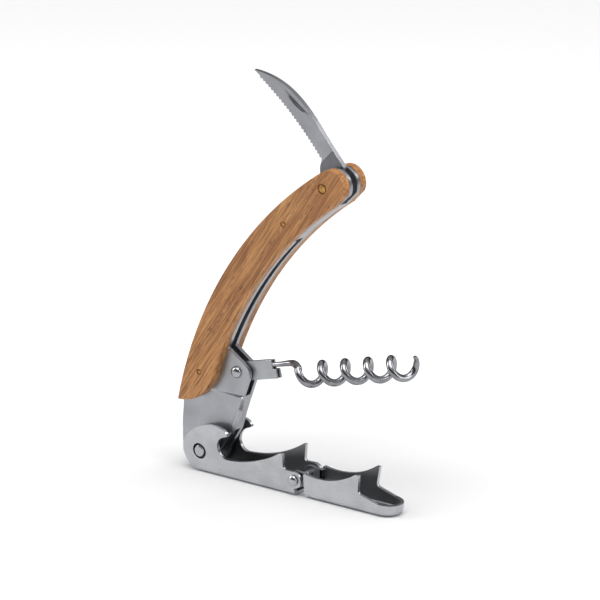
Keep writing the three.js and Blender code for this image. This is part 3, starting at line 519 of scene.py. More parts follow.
def steel(name, tone, roughness, turn, height, patchiness=0.06, wear=0.5, spread=0.12):
    """Brushed steel: tone is its own grey, turn lays the brushing along a direction."""
    material, tree, shader = base_material(name)
    place = node(tree, "ShaderNodeTexCoord")
    laid = node(tree, "ShaderNodeMapping")
    laid.inputs["Rotation"].default_value = turn
    tree.links.new(place.outputs["Object"], laid.inputs["Vector"])
    brush = node(tree, "ShaderNodeGroup", node_tree=BRUSHING)
    brush.inputs["Height"].default_value = height
    tree.links.new(laid.outputs[0], brush.inputs["Vector"])
    edge = node(tree, "ShaderNodeGroup", node_tree=EDGE_WEAR)
    dark = tuple(c * (1 - patchiness * 2) for c in tone[:3]) + (1,)
    light = tuple(min(1, c * (1 + patchiness * 2)) for c in tone[:3]) + (1,)
    patches = blend_colours(tree, ranged(tree, brush.outputs["Patch"], 0.3, 0.7), dark, light)
    streaks = blend_colours(tree, ranged(tree, brush.outputs["Streak"], 0.35, 0.7, 0.0, 0.35),
                            patches, light)
    rim = math_node(tree, "MULTIPLY", edge.outputs["Mask"], wear)
    worn = blend_colours(tree, rim, streaks, tuple(min(1, c * 1.35) for c in tone[:3]) + (1,))
    tree.links.new(worn, shader.inputs["Base Color"])
    rough = ranged(tree, brush.outputs["Streak"], 0.3, 0.7, roughness - spread / 2, roughness + spread / 2)
    smoother = math_node(tree, "MULTIPLY", rim, 0.5 * roughness)
    tree.links.new(math_node(tree, "SUBTRACT", rough, smoother, clamp=True), shader.inputs["Roughness"])
    tree.links.new(brush.outputs["Normal"], shader.inputs["Normal"])
    shader.inputs["Metallic"].default_value = 1.0
    return material


ALONG_FRAME = (0, math.radians(75), 0)
ALONG_LEVER = (0, 0, 0)
ACROSS_BLADE = (0, math.radians(-40), 0)

frame_steel = steel("frame_steel", colour(170, 172, 176), 0.36, ALONG_FRAME, 0.25)
lever_steel = steel("lever_steel", colour(188, 190, 193), 0.30, ALONG_LEVER, 0.22)
# Painted shade: a darker, duller copy of the lever steel for the channel's inner faces.
lever_inside_shade = steel("lever_inside_steel", colour(138, 139, 141), 0.40, ALONG_LEVER, 0.3, wear=0.15)
blade_steel = steel("blade_steel", colour(158, 159, 163), 0.34, ACROSS_BLADE, 0.3)
tang_steel = steel("tang_steel", colour(122, 123, 127), 0.42, ACROSS_BLADE, 0.5, wear=0.2)
rivet_steel = steel("rivet_steel", colour(178, 180, 184), 0.24, ALONG_LEVER, 0.08)
# Painted shade: the bushes and spacer get a near-black steel so that the recess round the pivot rivet reads
# as a dark ring.
ring_steel = steel("ring_steel", colour(70, 71, 73), 0.4, ALONG_LEVER, 0.1, wear=0.2)
spring_steel = steel("spring_steel", colour(200, 202, 206), 0.16, ALONG_LEVER, 0.08)
holder_steel = steel("holder_steel", colour(172, 174, 177), 0.34, ALONG_LEVER, 0.2)
print("steels:", [m.name for m in bpy.data.materials if m.name.endswith("steel")])


# %% [markdown]
# The worm is drawn wire with a polish that has dulled a little: clear reflections, faint
# drawing lines and some haze where it was handled. The pins are brass, filed by hand.

# %% Polished wire and brass
def polished_wire():
    material, tree, shader = base_material("polished_wire")
    place = node(tree, "ShaderNodeTexCoord")
    haze = noise(tree, place.outputs["Object"], 420.0, detail=4.0)
    fine = noise(tree, place.outputs["Object"], 5200.0, detail=2.0)
    tone = blend_colours(tree, ranged(tree, haze, 0.35, 0.7), colour(132, 133, 136), colour(168, 169, 172))
    tree.links.new(tone, shader.inputs["Base Color"])
    tree.links.new(ranged(tree, haze, 0.3, 0.75, 0.16, 0.28), shader.inputs["Roughness"])
    tree.links.new(bump_from(tree, fine, FINE_RELIEF, 0.25), shader.inputs["Normal"])
    shader.inputs["Metallic"].default_value = 1.0
    return material


def pin_brass():
    material, tree, shader = base_material("pin_brass")
    place = node(tree, "ShaderNodeTexCoord")
    turning = noise(tree, place.outputs["Object"], 2600.0, detail=3.0)
    tarnish = noise(tree, place.outputs["Object"], 700.0, detail=3.0)
    tone = blend_colours(tree, ranged(tree, tarnish, 0.35, 0.7), colour(150, 108, 52), colour(214, 172, 104))
    tree.links.new(tone, shader.inputs["Base Color"])
    tree.links.new(ranged(tree, turning, 0.3, 0.7, 0.28, 0.46), shader.inputs["Roughness"])
    tree.links.new(bump_from(tree, turning, PIN_RELIEF, 0.4), shader.inputs["Normal"])
    shader.inputs["Metallic"].default_value = 1.0
    return material


worm_steel = polished_wire()
brass = pin_brass()
print("polished wire and brass are ready")

# %% [markdown]
# Oak is told by its straight grain: pale and brown bands a few millimetres wide, finer
# streaks inside them, and short dark pores that lie along the same direction. The board was
# cut before the handle's curve was sawn from it, so the grain runs straight and the curved
# scale crosses it. Every layer is a noise that is stretched along the grain.

# %% Oak
GRAIN_ANGLE = 55.5  # degrees over the ground


def oak_wood(name, depth_offset):
    """Oak cut from one board at its own depth, so that the two scales differ."""
    material, tree, shader = base_material(name)
    place = node(tree, "ShaderNodeTexCoord")
    shift = node(tree, "ShaderNodeMapping")
    shift.inputs["Location"].default_value = (0, depth_offset, 0)
    tree.links.new(place.outputs["Object"], shift.inputs["Vector"])
    turn = (0, math.radians(GRAIN_ANGLE), 0)
    source = shift.outputs[0]
    wander = noise(tree, source, 60.0, detail=2.0)
    band = noise(tree, mapped(tree, source, (22, 260, 420), turn), 1.0, detail=3.0, roughness=0.55)
    streak = noise(tree, mapped(tree, source, (75, 1100, 2000), turn), 1.0, detail=4.0, roughness=0.65)
    pore = noise(tree, mapped(tree, source, (420, 2600, 5200), turn), 1.0, detail=1.0, roughness=0.4)
    cluster = noise(tree, mapped(tree, source, (60, 500, 900), turn), 1.0, detail=2.0)
    fibre = noise(tree, mapped(tree, source, (300, 9000, 14000), turn), 1.0, detail=2.0)

    tone = blend_colours(tree, ranged(tree, band, 0.36, 0.66), colour(154, 98, 50), colour(210, 152, 88))
    warm = blend_colours(tree, ranged(tree, wander, 0.4, 0.7, 0.0, 0.35), tone, colour(205, 138, 74))
    lined = blend_colours(tree, ranged(tree, streak, 0.47, 0.66, 0.0, 0.85), warm, colour(116, 70, 35))
    pale = blend_colours(tree, ranged(tree, streak, 0.47, 0.30, 0.0, 0.65), lined, colour(226, 174, 108))
    threads = blend_colours(tree, ranged(tree, fibre, 0.35, 0.7, 0.0, 0.38), pale, colour(134, 84, 44))
    here = ranged(tree, cluster, 0.42, 0.6)
    dots = math_node(tree, "MULTIPLY", ranged(tree, pore, 0.56, 0.66), here, clamp=True)
    pored = blend_colours(tree, math_node(tree, "MULTIPLY", dots, 0.85), threads, colour(78, 46, 24))
    tree.links.new(pored, shader.inputs["Base Color"])
    tree.links.new(ranged(tree, streak, 0.3, 0.7, 0.40, 0.58), shader.inputs["Roughness"])
    relief = math_node(tree, "SUBTRACT", math_node(tree, "MULTIPLY", streak, 0.5), dots)
    tree.links.new(bump_from(tree, relief, WOOD_RELIEF, 0.5), shader.inputs["Normal"])
    shader.inputs["Coat Weight"].default_value = 0.12
    shader.inputs["Coat Roughness"].default_value = 0.35
    return material


oak_left = oak_wood("oak_left", 0.0)
oak_right = oak_wood("oak_right", 0.031)
print("oak runs at", GRAIN_ANGLE, "degrees")

# %% [markdown]
# The wood scales. On the real handle a scale is a sawn board with its outer rim rounded
# over by a router, deep enough that the whole edge feels round in the hand. Here the outline
# is drawn once with the handle's own arcs, given its thickness, and its outer rim bevelled
# with many steps. The board lies flat on the steel, so its inner rim stays sharp.

# %% Wood scales
FACE_GAP = 0.3  # clearance between neighbouring pieces
FRAME_SHEET = 1.35
SLOT_WIDTH = 2.2
FRAME_HALF = SLOT_WIDTH / 2 + FRAME_SHEET
WOOD_FACE = 5.35  # the scale's outer face, from the middle of the object
WOOD_ROUND = 2.3
WOOD_OFF_STEEL = 0.02

HANDLE_RADIUS = 122.3
HANDLE_WIDTH = 10.6
HANDLE_SWEEP = 44
FOOT_ANGLE = 167.6
BACK_RADIUS = HANDLE_RADIUS + HANDLE_WIDTH / 2
FRONT_RADIUS = HANDLE_RADIUS - HANDLE_WIDTH / 2
END_ANGLE = FOOT_ANGLE - HANDLE_SWEEP
NOSE_RADIUS = 5.1
NOSE_TURN = -25
WOOD_FOOT_RADIUS = 14.3
HANDLE_CENTRE = (Vector((LEVER_PIVOT.x - 3.2, LEVER_PIVOT.z + 13.4))
                 - polar((0, 0), HANDLE_RADIUS, FOOT_ANGLE))
NOSE = polar(HANDLE_CENTRE, BACK_RADIUS - NOSE_RADIUS, END_ANGLE)
FRONT_END = END_ANGLE + math.degrees(2.6 / HANDLE_RADIUS)
HANDLE_FOOT = polar(HANDLE_CENTRE, BACK_RADIUS, FOOT_ANGLE)
RECESSES = [(BLADE_PIVOT, 1.6, 0.5), (UPPER_PIN, 0.95, 0.45), (LOWER_PIN, 0.9, 0.45)]


def handle_line():
    """From the foot up the back edge, round the nose and on to the front edge."""
    pen_arc(*HANDLE_CENTRE, END_ANGLE - FOOT_ANGLE, 44)
    pen_arc(*NOSE, NOSE_TURN - END_ANGLE, 36)
    pen_to(*polar(HANDLE_CENTRE, FRONT_RADIUS, FRONT_END))


def meeting_angle(centre, radius, other, other_radius, near):
    """Angle on the first circle where it meets the second, on the side nearer a point."""
    to_other = Vector(other) - Vector(centre)
    reach = to_other.length
    cosine = (reach ** 2 + radius ** 2 - other_radius ** 2) / (2 * reach * radius)
    spread = math.degrees(math.acos(cosine))
    base = angle_of(*to_other)
    return min((base + spread, base - spread),
               key=lambda angle: (polar(centre, radius, angle) - Vector(near)).length)


def pin_recess(pin, radius, depth, face):
    """A short round tool that sinks a recess into a scale's face."""
    bpy.ops.object.select_all(action="DESELECT")
    bpy.ops.mesh.primitive_cylinder_add(
        vertices=48, radius=radius * MM, depth=2 * depth * MM,
        location=spot(pin.x, pin.z, face), rotation=(math.radians(90), 0, 0))
    tool = bpy.context.object
    bpy.ops.object.transform_apply(location=True, rotation=True, scale=True)
    return tool


def wood_scale(name, side, material, node_name):
    """One scale: outline, thickness, rounded rim and the recesses round its pins."""
    corner = HANDLE_FOOT + Vector((FACE_GAP, WOOD_FOOT_RADIUS))
    near = polar(HANDLE_CENTRE, FRONT_RADIUS, FOOT_ANGLE) + Vector((0, WOOD_FOOT_RADIUS))
    meet = meeting_angle(HANDLE_CENTRE, FRONT_RADIUS, corner, WOOD_FOOT_RADIUS, near)
    start = angle_of(*(polar(HANDLE_CENTRE, FRONT_RADIUS, meet) - corner)) % 360
    inner = side * (FRAME_HALF + WOOD_OFF_STEEL)
    outer = side * WOOD_FACE
    scale = pen_start(name, *HANDLE_FOOT, inner)
    handle_line()
    pen_arc(*HANDLE_CENTRE, meet - FRONT_END, 42)
    pen_arc(*corner, 270 - start if start > 180 else -90 - start, 18)
    pen_close()
    thicken(outer - inner)
    rim = abs(outer) - 0.01
    pick_edges(scale, lambda a, b: abs(a.y) > rim and abs(b.y) > rim)
    bpy.ops.mesh.bevel(offset=WOOD_ROUND * MM, segments=9, profile=0.5, affect="EDGES",
                       clamp_overlap=True)
    bpy.ops.object.mode_set(mode="OBJECT")
    for pin, radius, depth in RECESSES:
        cut(scale, pin_recess(pin, radius, depth, outer))
    return finish(scale, "handle", [node_name], material, angle=40)


wood_scale("oak_scale_left", -1, oak_left, "scale_left")
wood_scale("oak_scale_right", 1, oak_right, "scale_right")

# %% [markdown]
# The frame is one folded sheet: two walls, joined by a fold along the front edge below the
# nose and by another above the lever's hinge. It is modelled as the sheet is made. The
# wall's outline is drawn once, copied across and bridged along the folds, the folds are
# rounded, the foot is spread, and only then does the sheet get its thickness.

# %% Frame
FOOT_HALF_WIDTH = 3.2
SPREAD_TOP = LEVER_PIVOT.z + 14.3
SPREAD_BOTTOM = LEVER_PIVOT.z + 6.0
SHOULDER = Vector((WORM_PIVOT.x + 4.8, WORM_PIVOT.z + 1.3))
CHIN = Vector((LEVER_PIVOT.x + 9.7, LEVER_PIVOT.z + 7.2))
EYE_RADIUS = 5.2
FOLD_RADIUS = 1.35
UPPER_FOLD_END = END_ANGLE + math.degrees(23.5 / HANDLE_RADIUS)
LOWER_FOLD_TOP = LEVER_PIVOT.z + 18.7
SHOULDER_ANGLE = FOOT_ANGLE - math.degrees(22.5 / HANDLE_RADIUS)
TOE_HEIGHT = 0.7  # lowest point of the frame's foot
HEEL_HEIGHT = 4.7
SPREAD_LEVELS = 10
RELAX_ABOVE = (0.6, 1.6, 3.2, 5.5)  # plain cuts over the bend, so that it shades softly
FRAME_EDGE = 0.12


def frame_wall_outline():
    """One wall on the sheet's outer face; returns it and the top of its lower fold."""
    wall = pen_start("steel_frame", *HANDLE_FOOT, -FRAME_HALF)
    handle_line()
    pen_arc(*HANDLE_CENTRE, UPPER_FOLD_END - FRONT_END, 14)
    pen_arc(*HANDLE_CENTRE, SHOULDER_ANGLE - UPPER_FOLD_END, 28)
    pen_to(SHOULDER.x - 1.3, SHOULDER.y + 1.0)
    pen_to(SHOULDER.x - 0.35, SHOULDER.y + 0.1)
    pen_to(SHOULDER.x, SHOULDER.y - 0.7)
    corner = Vector((SHOULDER.x, SHOULDER.y - 1.95))
    share = (corner.y - LOWER_FOLD_TOP) / (corner.y - CHIN.y)
    fold_top = corner.lerp(CHIN, share)
    pen_to(*corner)
    pen_to(*fold_top)
    pen_to(*CHIN)
    pen_to(LEVER_PIVOT.x + EYE_RADIUS, LEVER_PIVOT.z)
    pen_arc(LEVER_PIVOT.x, LEVER_PIVOT.z, -90, 14)
    pen_to(LEVER_PIVOT.x - 3.0, TOE_HEIGHT)
    pen_to(LEVER_PIVOT.x - 8.1, HEEL_HEIGHT)
    pen_close()
    return wall, fold_top


def on_upper_fold(p):
    radius = (Vector((p.x, p.z)) - HANDLE_CENTRE).length
    angle = angle_of(p.x - HANDLE_CENTRE.x, p.z - HANDLE_CENTRE.y)
    return abs(radius - FRONT_RADIUS) < 0.02 and FRONT_END - 0.01 < angle < UPPER_FOLD_END + 0.01


def on_lower_fold(p, fold_top):
    along = CHIN - fold_top
    from_top = Vector((p.x, p.z)) - fold_top
    share = from_top.dot(along) / along.length_squared
    beside = (from_top - along * share).length
    return beside < 0.02 and -0.01 < share < 1.01


def spread_foot(frame_piece):
    """Step the walls apart towards the hinge, level by level, in a soft bend."""
    drop = (SPREAD_TOP - SPREAD_BOTTOM) / SPREAD_LEVELS
    heights = [SPREAD_TOP - drop * i for i in range(SPREAD_LEVELS + 1)]
    for height in heights + [SPREAD_TOP + rise for rise in RELAX_ABOVE]:
        bpy.ops.mesh.select_all(action="SELECT")
        bpy.ops.mesh.bisect(plane_co=spot(0, height), plane_no=(0, 0, 1))
    stepped = 0.0
    for i, height in enumerate(heights[1:], start=1):
        share = i / SPREAD_LEVELS
        ease = share * share * (3 - 2 * share)
        move = (FOOT_HALF_WIDTH - FRAME_HALF) * ease - stepped
        stepped += move
        for side in (-1, 1):
            pick_points(frame_piece, lambda p: p.z < height + 0.01 and p.y * side > 1.5)
            bpy.ops.transform.translate(value=(0, side * move * MM, 0))


def steel_frame():
    """Two walls, their folds, the spread foot and at last the sheet's thickness."""
    wall, fold_top = frame_wall_outline()
    bpy.ops.mesh.select_all(action="SELECT")
    bpy.ops.mesh.duplicate_move(TRANSFORM_OT_translate={"value": (0, 2 * FRAME_HALF * MM, 0)})
    pick_edges(wall, lambda a, b: on_upper_fold(a) and on_upper_fold(b))
    bpy.ops.mesh.bridge_edge_loops()
    pick_edges(wall, lambda a, b: on_lower_fold(a, fold_top) and on_lower_fold(b, fold_top)
               and abs(a.y - b.y) < 0.1)
    bpy.ops.mesh.bridge_edge_loops()
    pick_edges(wall, lambda a, b: abs(a.y - b.y) < 0.1 and (
        (on_upper_fold(a) and on_upper_fold(b))
        or (on_lower_fold(a, fold_top) and on_lower_fold(b, fold_top))))
    bpy.ops.mesh.bevel(offset=FOLD_RADIUS * MM, segments=5, profile=0.5, affect="EDGES",
                       clamp_overlap=True)
    spread_foot(wall)
    bpy.ops.mesh.select_all(action="SELECT")
    bpy.ops.mesh.normals_make_consistent(inside=False)
    apply_modifier(wall, "SOLIDIFY", thickness=FRAME_SHEET * MM, offset=-1,
                   use_even_offset=False, use_quality_normals=True)
    break_edges(wall, FRAME_EDGE, 2, 40)
    return finish(wall, "handle", ["frame_channel"], frame_steel)


steel_frame()

# %% [markdown]
# The foil blade is ground from flat stock: full thickness at the tang and the spine, thin at
# the edge, with small teeth and a nail groove. The plate is drawn and thickened, each side
# is cut back by a tilted slab, which leaves the tang its full thickness, and the
# groove is cut by the rim of a large leaning disc, as a groove is milled.

# %% Foil blade
BLADE_HALF = 0.8
SPINE_ROOT = (16, 3.0)  # handles of the spine's curve: along and beside its chord
SPINE_HUMP = (26, 8.8)
PIVOT_POINT = Vector((BLADE_PIVOT.x, BLADE_PIVOT.z))
BLADE_TIP = polar(PIVOT_POINT, 41.1, 133.6)
SPINE_BASE = PIVOT_POINT + Vector((4.3, 6.2))
EDGE_HEEL = PIVOT_POINT + Vector((-4.0, 7.5))
EDGE_BOW = 1.3
TOOTH_COUNT = 27
TOOTH_DEPTH = 0.5
BLUNT_TEETH = 2  # teeth left out at the tip
TOOTH_FLAT = 0.08  # half of the flat on each tooth's point
GRIND_SLOPE = 0.066  # thickness lost on each side for each millimetre from the spine
GRIND_RISE = 2.6  # the grind starts this far outside the chord of the spine
TANG_REACH = 9.0
GROOVE_AT = PIVOT_POINT + Vector((-12.6, 22.6))
GROOVE_SLANT = math.radians(35.5)
GROOVE_LEAN = math.radians(17)
GROOVE_DEPTH = 0.48
DISC_RADIUS = 36.0
DISC_THICKNESS = 3.0


def beside_chord(start, end, rise):
    """The middle of a chord, moved sideways by a rise."""
    chord = end - start
    side = Vector((chord.y, -chord.x)).normalized() * rise
    return (start + end) / 2 + side


def spine_curve(steps):
    """Points of the spine from the tang to the tip: almost straight, then a hump."""
    way = (BLADE_TIP - SPINE_BASE).normalized()
    beside = Vector((way.y, -way.x))
    root = SPINE_BASE + way * SPINE_ROOT[0] + beside * SPINE_ROOT[1]
    hump = SPINE_BASE + way * SPINE_HUMP[0] + beside * SPINE_HUMP[1]
    return [SPINE_BASE * (1 - t) ** 3 + root * 3 * (1 - t) ** 2 * t
            + hump * 3 * (1 - t) * t * t + BLADE_TIP * t ** 3
            for t in (i / steps for i in range(1, steps + 1))]


def toothed_edge():
    """From the tip to the heel, in small pointed teeth along a shallow curve."""
    middle = beside_chord(BLADE_TIP, EDGE_HEEL, -EDGE_BOW)
    handle = middle * 2 - (BLADE_TIP + EDGE_HEEL) / 2

    def curve(t):
        return BLADE_TIP * (1 - t) ** 2 + handle * 2 * t * (1 - t) + EDGE_HEEL * t * t

    for i in range(BLUNT_TEETH, TOOTH_COUNT):
        valley = curve(i / TOOTH_COUNT)
        point = curve((i + 0.5) / TOOTH_COUNT)
        ahead = (curve((i + 0.6) / TOOTH_COUNT) - curve((i + 0.4) / TOOTH_COUNT)).normalized()
        out = Vector((ahead.y, -ahead.x)) * TOOTH_DEPTH
        pen_to(*valley)
        pen_to(*(point + out - ahead * TOOTH_FLAT))
        pen_to(*(point + out + ahead * TOOTH_FLAT))
    pen_to(*EDGE_HEEL)


def ground_depth(p):
    """Half thickness of the ground blade, by the distance from the line of its spine."""
    way = (BLADE_TIP - SPINE_BASE).normalized()
    off = p - SPINE_BASE
    away = off.y * way.x - off.x * way.y
    return BLADE_HALF - GRIND_SLOPE * (away + GRIND_RISE)


def grinding_slab(side):
    """A tilted slab that takes one face of the blade back from the spine to the edge."""
    low = EDGE_HEEL + Vector((0.3, -0.9))
    plunge = Vector((6.3, 6.2)).normalized()
    up_blade = (BLADE_TIP - SPINE_BASE).normalized() * 70
    start, end = low - plunge * 9, low + plunge * 15
    corners = [start, end, end + up_blade, start + up_blade]
    slab = pen_start("grinding_slab", *corners[0], side * ground_depth(corners[0]))
    for corner in corners[1:]:
        pen_to(*corner, side * ground_depth(corner))
    pen_close()
    thicken(side * 6)
    # Lean the slab's end, so that the shoulder beside the tang is a slope and not a step.
    pick_points(slab, lambda p: abs(p.y) > 4
                and (Vector((p.x, p.z)) - start).dot(up_blade) < 300)
    bpy.ops.transform.translate(value=spot(*(up_blade.normalized() * -8)))
    bpy.ops.object.mode_set(mode="OBJECT")
    return slab


def nail_groove_disc():
    """A large disc leaning over the face; the part that dips in mills the groove."""
    along = Vector((math.cos(GROOVE_SLANT), 0, -math.sin(GROOVE_SLANT)))
    up = Vector((math.sin(GROOVE_SLANT), 0, math.cos(GROOVE_SLANT)))
    out = Vector((0, -1, 0))
    axis = up * math.cos(GROOVE_LEAN) - out * math.sin(GROOVE_LEAN)
    outward = out * math.cos(GROOVE_LEAN) + up * math.sin(GROOVE_LEAN)
    floor = GROOVE_DEPTH - ground_depth(GROOVE_AT)
    deepest = Vector((GROOVE_AT.x, floor, GROOVE_AT.y))
    centre = deepest + outward * DISC_RADIUS - axis * DISC_THICKNESS / 2
    turn = Matrix((along, axis.cross(along), axis)).transposed().to_euler()
    bpy.ops.object.select_all(action="DESELECT")
    bpy.ops.mesh.primitive_cylinder_add(
        vertices=360, radius=DISC_RADIUS * MM, depth=DISC_THICKNESS * MM,
        location=centre * MM, rotation=turn)
    disc = bpy.context.object
    bpy.ops.object.transform_apply(location=True, rotation=True, scale=True)
    return disc


def foil_blade():
    """Plate, teeth, the two ground sides, the nail groove, and a darker tang."""
    blade = pen_start("foil_blade_ground", *SPINE_BASE, -BLADE_HALF)
    for point in spine_curve(40):
        pen_to(*point)
    toothed_edge()
    pen_to(BLADE_PIVOT.x - 4.2, BLADE_PIVOT.z + 5.6)
    pen_to(BLADE_PIVOT.x - 4.2, BLADE_PIVOT.z + 2.4)
    pen_to(BLADE_PIVOT.x - 3.7, BLADE_PIVOT.z)
    pen_arc(BLADE_PIVOT.x, BLADE_PIVOT.z, 180, 24)
    pen_close()
    thicken(2 * BLADE_HALF)
    bpy.ops.object.mode_set(mode="OBJECT")
    for side in (-1, 1):
        cut(blade, grinding_slab(side))
    cut(blade, nail_groove_disc())
    break_edges(blade, 0.07, 1, 50)
    for face in blade.data.polygons:
        away = Vector((face.center.x, face.center.z)) / MM - PIVOT_POINT
        tang = abs(face.center.y / MM) > BLADE_HALF - 0.02 and away.length < TANG_REACH
        face.material_index = 1 if tang else 0
    return finish(blade, "blade", ["foil_blade"], [blade_steel, tang_steel], angle=20)


foil_blade()

# %% [markdown]
# The worm is one length of round wire. On the real one it is wound on a mandrel, bent out
# to a straight shank and ground to a point. Here a point is drawn along the shank, the bend
# and five turns of a helix, and the line becomes a curve with the wire's thickness that
# tapers to the point.

# %% Worm
WORM_ANGLE = 14.2
WIRE_RADIUS = 1.12
COIL_RADIUS = 2.95
COIL_PITCH = 8.62
COIL_END = 5.04  # turns of the helix, down to the wire's very point
COIL_FIRST = 0.09  # where the bend from the shank meets it
COIL_STEPS = 44  # for each turn
COIL_START = 22.2
COIL_OFF = -2.6
SHANK_OFF = 1.0
HOLDER_TAIL = 13.8  # where the bracket ends, along the worm
NECK_POINTS = 14  # points of the line over which the wire is thinned
TIP_POINTS = 20


def worm_spot(along, across, off):
    """A place measured along the worm and square to it, in the object's millimetres."""
    turn = math.radians(WORM_ANGLE)
    x = WORM_PIVOT.x + along * math.cos(turn) - off * math.sin(turn)
    z = WORM_PIVOT.z + along * math.sin(turn) + off * math.cos(turn)
    return Vector((x, across, z))


def coil_spot(turns):
    angle = math.pi / 2 + turns * 2 * math.pi
    return Vector((COIL_START + COIL_PITCH * turns, COIL_RADIUS * math.cos(angle),
                   COIL_OFF + COIL_RADIUS * math.sin(angle)))


def smooth_line(points, steps):
    """Points on a rounded curve through the given ones (Catmull-Rom)."""
    line = []
    for i in range(len(points) - 1):
        before = points[max(i - 1, 0)]
        a, b = points[i], points[i + 1]
        after = points[min(i + 2, len(points) - 1)]
        for k in range(steps):
            t = k / steps
            line.append(0.5 * (2 * a + (b - before) * t + (2 * before - 5 * a + 4 * b - after) * t * t
                               + (3 * a - before - 3 * b + after) * t ** 3))
    line.append(points[-1])
    return line


def worm_wire():
    """The wire's middle line as a curve, thinned in the holder and at the point."""
    shank_start = HOLDER_TAIL - 2.2
    shank_end = COIL_START - 2.2
    middle = (shank_start + shank_end) / 2
    knots = [Vector((x, 0, SHANK_OFF)) for x in (shank_start, middle, shank_end)]
    joins = [COIL_FIRST + 0.055 * i for i in range(3)]
    bend = smooth_line(knots + [coil_spot(turns) for turns in joins], 6)[:-1]
    first = joins[-1]
    count = round((COIL_END - first) * COIL_STEPS)
    coil = [coil_spot(first + (COIL_END - first) * i / count) for i in range(count + 1)]
    line = [worm_spot(*p) for p in bend + coil]
    wire = pen_start("worm_wire", line[0].x, line[0].z, line[0].y)
    for place in line[1:]:
        pen_to(place.x, place.z, place.y)
    bpy.ops.object.mode_set(mode="OBJECT")
    bpy.ops.object.convert(target="CURVE")
    curve = wire.data
    curve.dimensions = "3D"
    curve.bevel_depth = WIRE_RADIUS * MM
    curve.bevel_resolution = 6
    curve.use_fill_caps = True
    points = list(curve.splines[0].points)
    if (points[0].co.xyz / MM - line[0]).length > 1:
        points.reverse()
    for i, point in enumerate(points):
        to_tip = (len(points) - 1 - i) / TIP_POINTS
        from_neck = min(1, i / NECK_POINTS)
        point.radius = 0.6 + 0.4 * from_neck ** 1.5
        if to_tip < 1:
            point.radius = 0.05 + 0.95 * math.sin(to_tip * math.pi / 2) ** 0.8
    bpy.ops.object.convert(target="MESH")
    bpy.ops.object.mode_set(mode="EDIT")
    bpy.ops.mesh.select_all(action="SELECT")
    bpy.ops.mesh.remove_doubles(threshold=1e-6)
    bpy.ops.mesh.normals_make_consistent(inside=False)
    return finish(bpy.context.object, "worm", ["worm"], worm_steel, angle=60)


worm_wire()

# %% [markdown]
# The worm hangs from a bracket of folded sheet. The plate is doubled over the wire's end,
# so its tail shows two layers, and a thin core closes the gap between them.

# %% Worm holder
HOLDER_HALF = 0.8
HOLDER_LAYER = 0.62
HOLDER_HALF_WIDTH = 2.85
HOLDER_OFF = -0.25


def holder_outline(name, tail, notch_start, y):
    """One layer, seen from the side, with the notch that the wire lies in."""
    top = HOLDER_OFF + HOLDER_HALF_WIDTH
    bottom = HOLDER_OFF - HOLDER_HALF_WIDTH
    notch_floor = SHANK_OFF - WIRE_RADIUS - 0.1

    def at(along, off):
        place = worm_spot(along, y, off)
        return place.x, place.z

    piece = pen_start(name, *at(0, bottom), y)
    pen_to(*at(tail, bottom))
    pen_to(*at(tail, notch_floor))
    pen_to(*at(notch_start, notch_floor))
    pen_to(*at(notch_start, top))
    pen_to(*at(0, top))
    pen_arc(*at(0, HOLDER_OFF), 180, 20)
    pen_close()
    return piece


def worm_holder():
    """Two outer layers and the core between them, joined in one piece."""
    front = holder_outline("worm_holder_sheet", HOLDER_TAIL, HOLDER_TAIL - 1.2, -HOLDER_HALF)
    thicken(HOLDER_LAYER)
    bpy.ops.object.mode_set(mode="OBJECT")
    back = holder_outline("worm_holder_back", HOLDER_TAIL + 0.5, HOLDER_TAIL - 0.8, HOLDER_HALF)
    thicken(-HOLDER_LAYER)
    bpy.ops.object.mode_set(mode="OBJECT")
    middle = holder_outline("worm_holder_core", HOLDER_TAIL - 1.4, HOLDER_TAIL - 2.4, -0.25)
    thicken(0.5)
    bpy.ops.object.mode_set(mode="OBJECT")
    for layer in (front, back):
        break_edges(layer, 0.14, 3, 40)
    bpy.ops.object.select_all(action="DESELECT")
    for layer in (back, middle, front):
        layer.select_set(True)
    bpy.context.view_layer.objects.active = front
    bpy.ops.object.join()
    return finish(front, "worm", ["worm_holder"], holder_steel)


worm_holder()

# %% [markdown]
# Rivets, bushes and pins are round about the axis of their hinge. Half of the shape is
# drawn beside the axis, as a lathe's template is, and spun once round.

# %% Turned pieces
SHANK_RADIUS = 1.1
BORE_RADIUS = 1.45  # of the bushes and the spacer
FLANGE_RADIUS = 3.2
FLANGE_THICKNESS = 0.45
HUB_RADIUS = 2.2
SPACER_RADIUS = 2.4
EAR_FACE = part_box("stage_rivet")[1].y / MM - 0.8
HUB_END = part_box("pivot_bush_right")[1].y / MM
HEAD_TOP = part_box("pivot_rivet")[1].y / MM
SPACER_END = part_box("pivot_spacer")[1].y / MM


def turned_piece(name, at, profile, steps=48):
    """Spin a profile of (radius, across) round an axis that runs across the object."""
    radius, y = profile[0]
    piece = pen_start(name, at.x + radius, at.z, y)
    for radius, y in profile[1:]:
        pen_to(at.x + radius, at.z, y)
    bpy.ops.mesh.select_all(action="SELECT")
    bpy.ops.mesh.spin(steps=steps, angle=2 * math.pi, center=spot(at.x, at.z), axis=(0, 1, 0))
    bpy.ops.mesh.select_all(action="SELECT")
    bpy.ops.mesh.remove_doubles(threshold=MERGE_WITHIN)
    bpy.ops.mesh.normals_make_consistent(inside=False)
    bpy.ops.object.mode_set(mode="OBJECT")
    return piece


def dome(radius, foot, rise, steps=8, lip=0.12):
    """Profile of a domed head, from its rim to its crown, standing on a short lip."""
    line = [(radius - 0.05, foot), (radius, foot + 0.05), (radius, foot + lip)]
    for i in range(1, steps + 1):
        turn = math.radians(90) * i / steps
        line.append((radius * math.cos(turn), foot + lip + (rise - lip) * math.sin(turn)))
    return line


def both_ends(half):
    """The same profile on both sides of the object."""
    return [(radius, -y) for radius, y in reversed(half)] + half


def domed_rivet(name, at, half, head, rise):
    profile = [(SHANK_RADIUS, half - 0.02)] + dome(head, half, rise)
    return turned_piece(name, at, both_ends(profile))


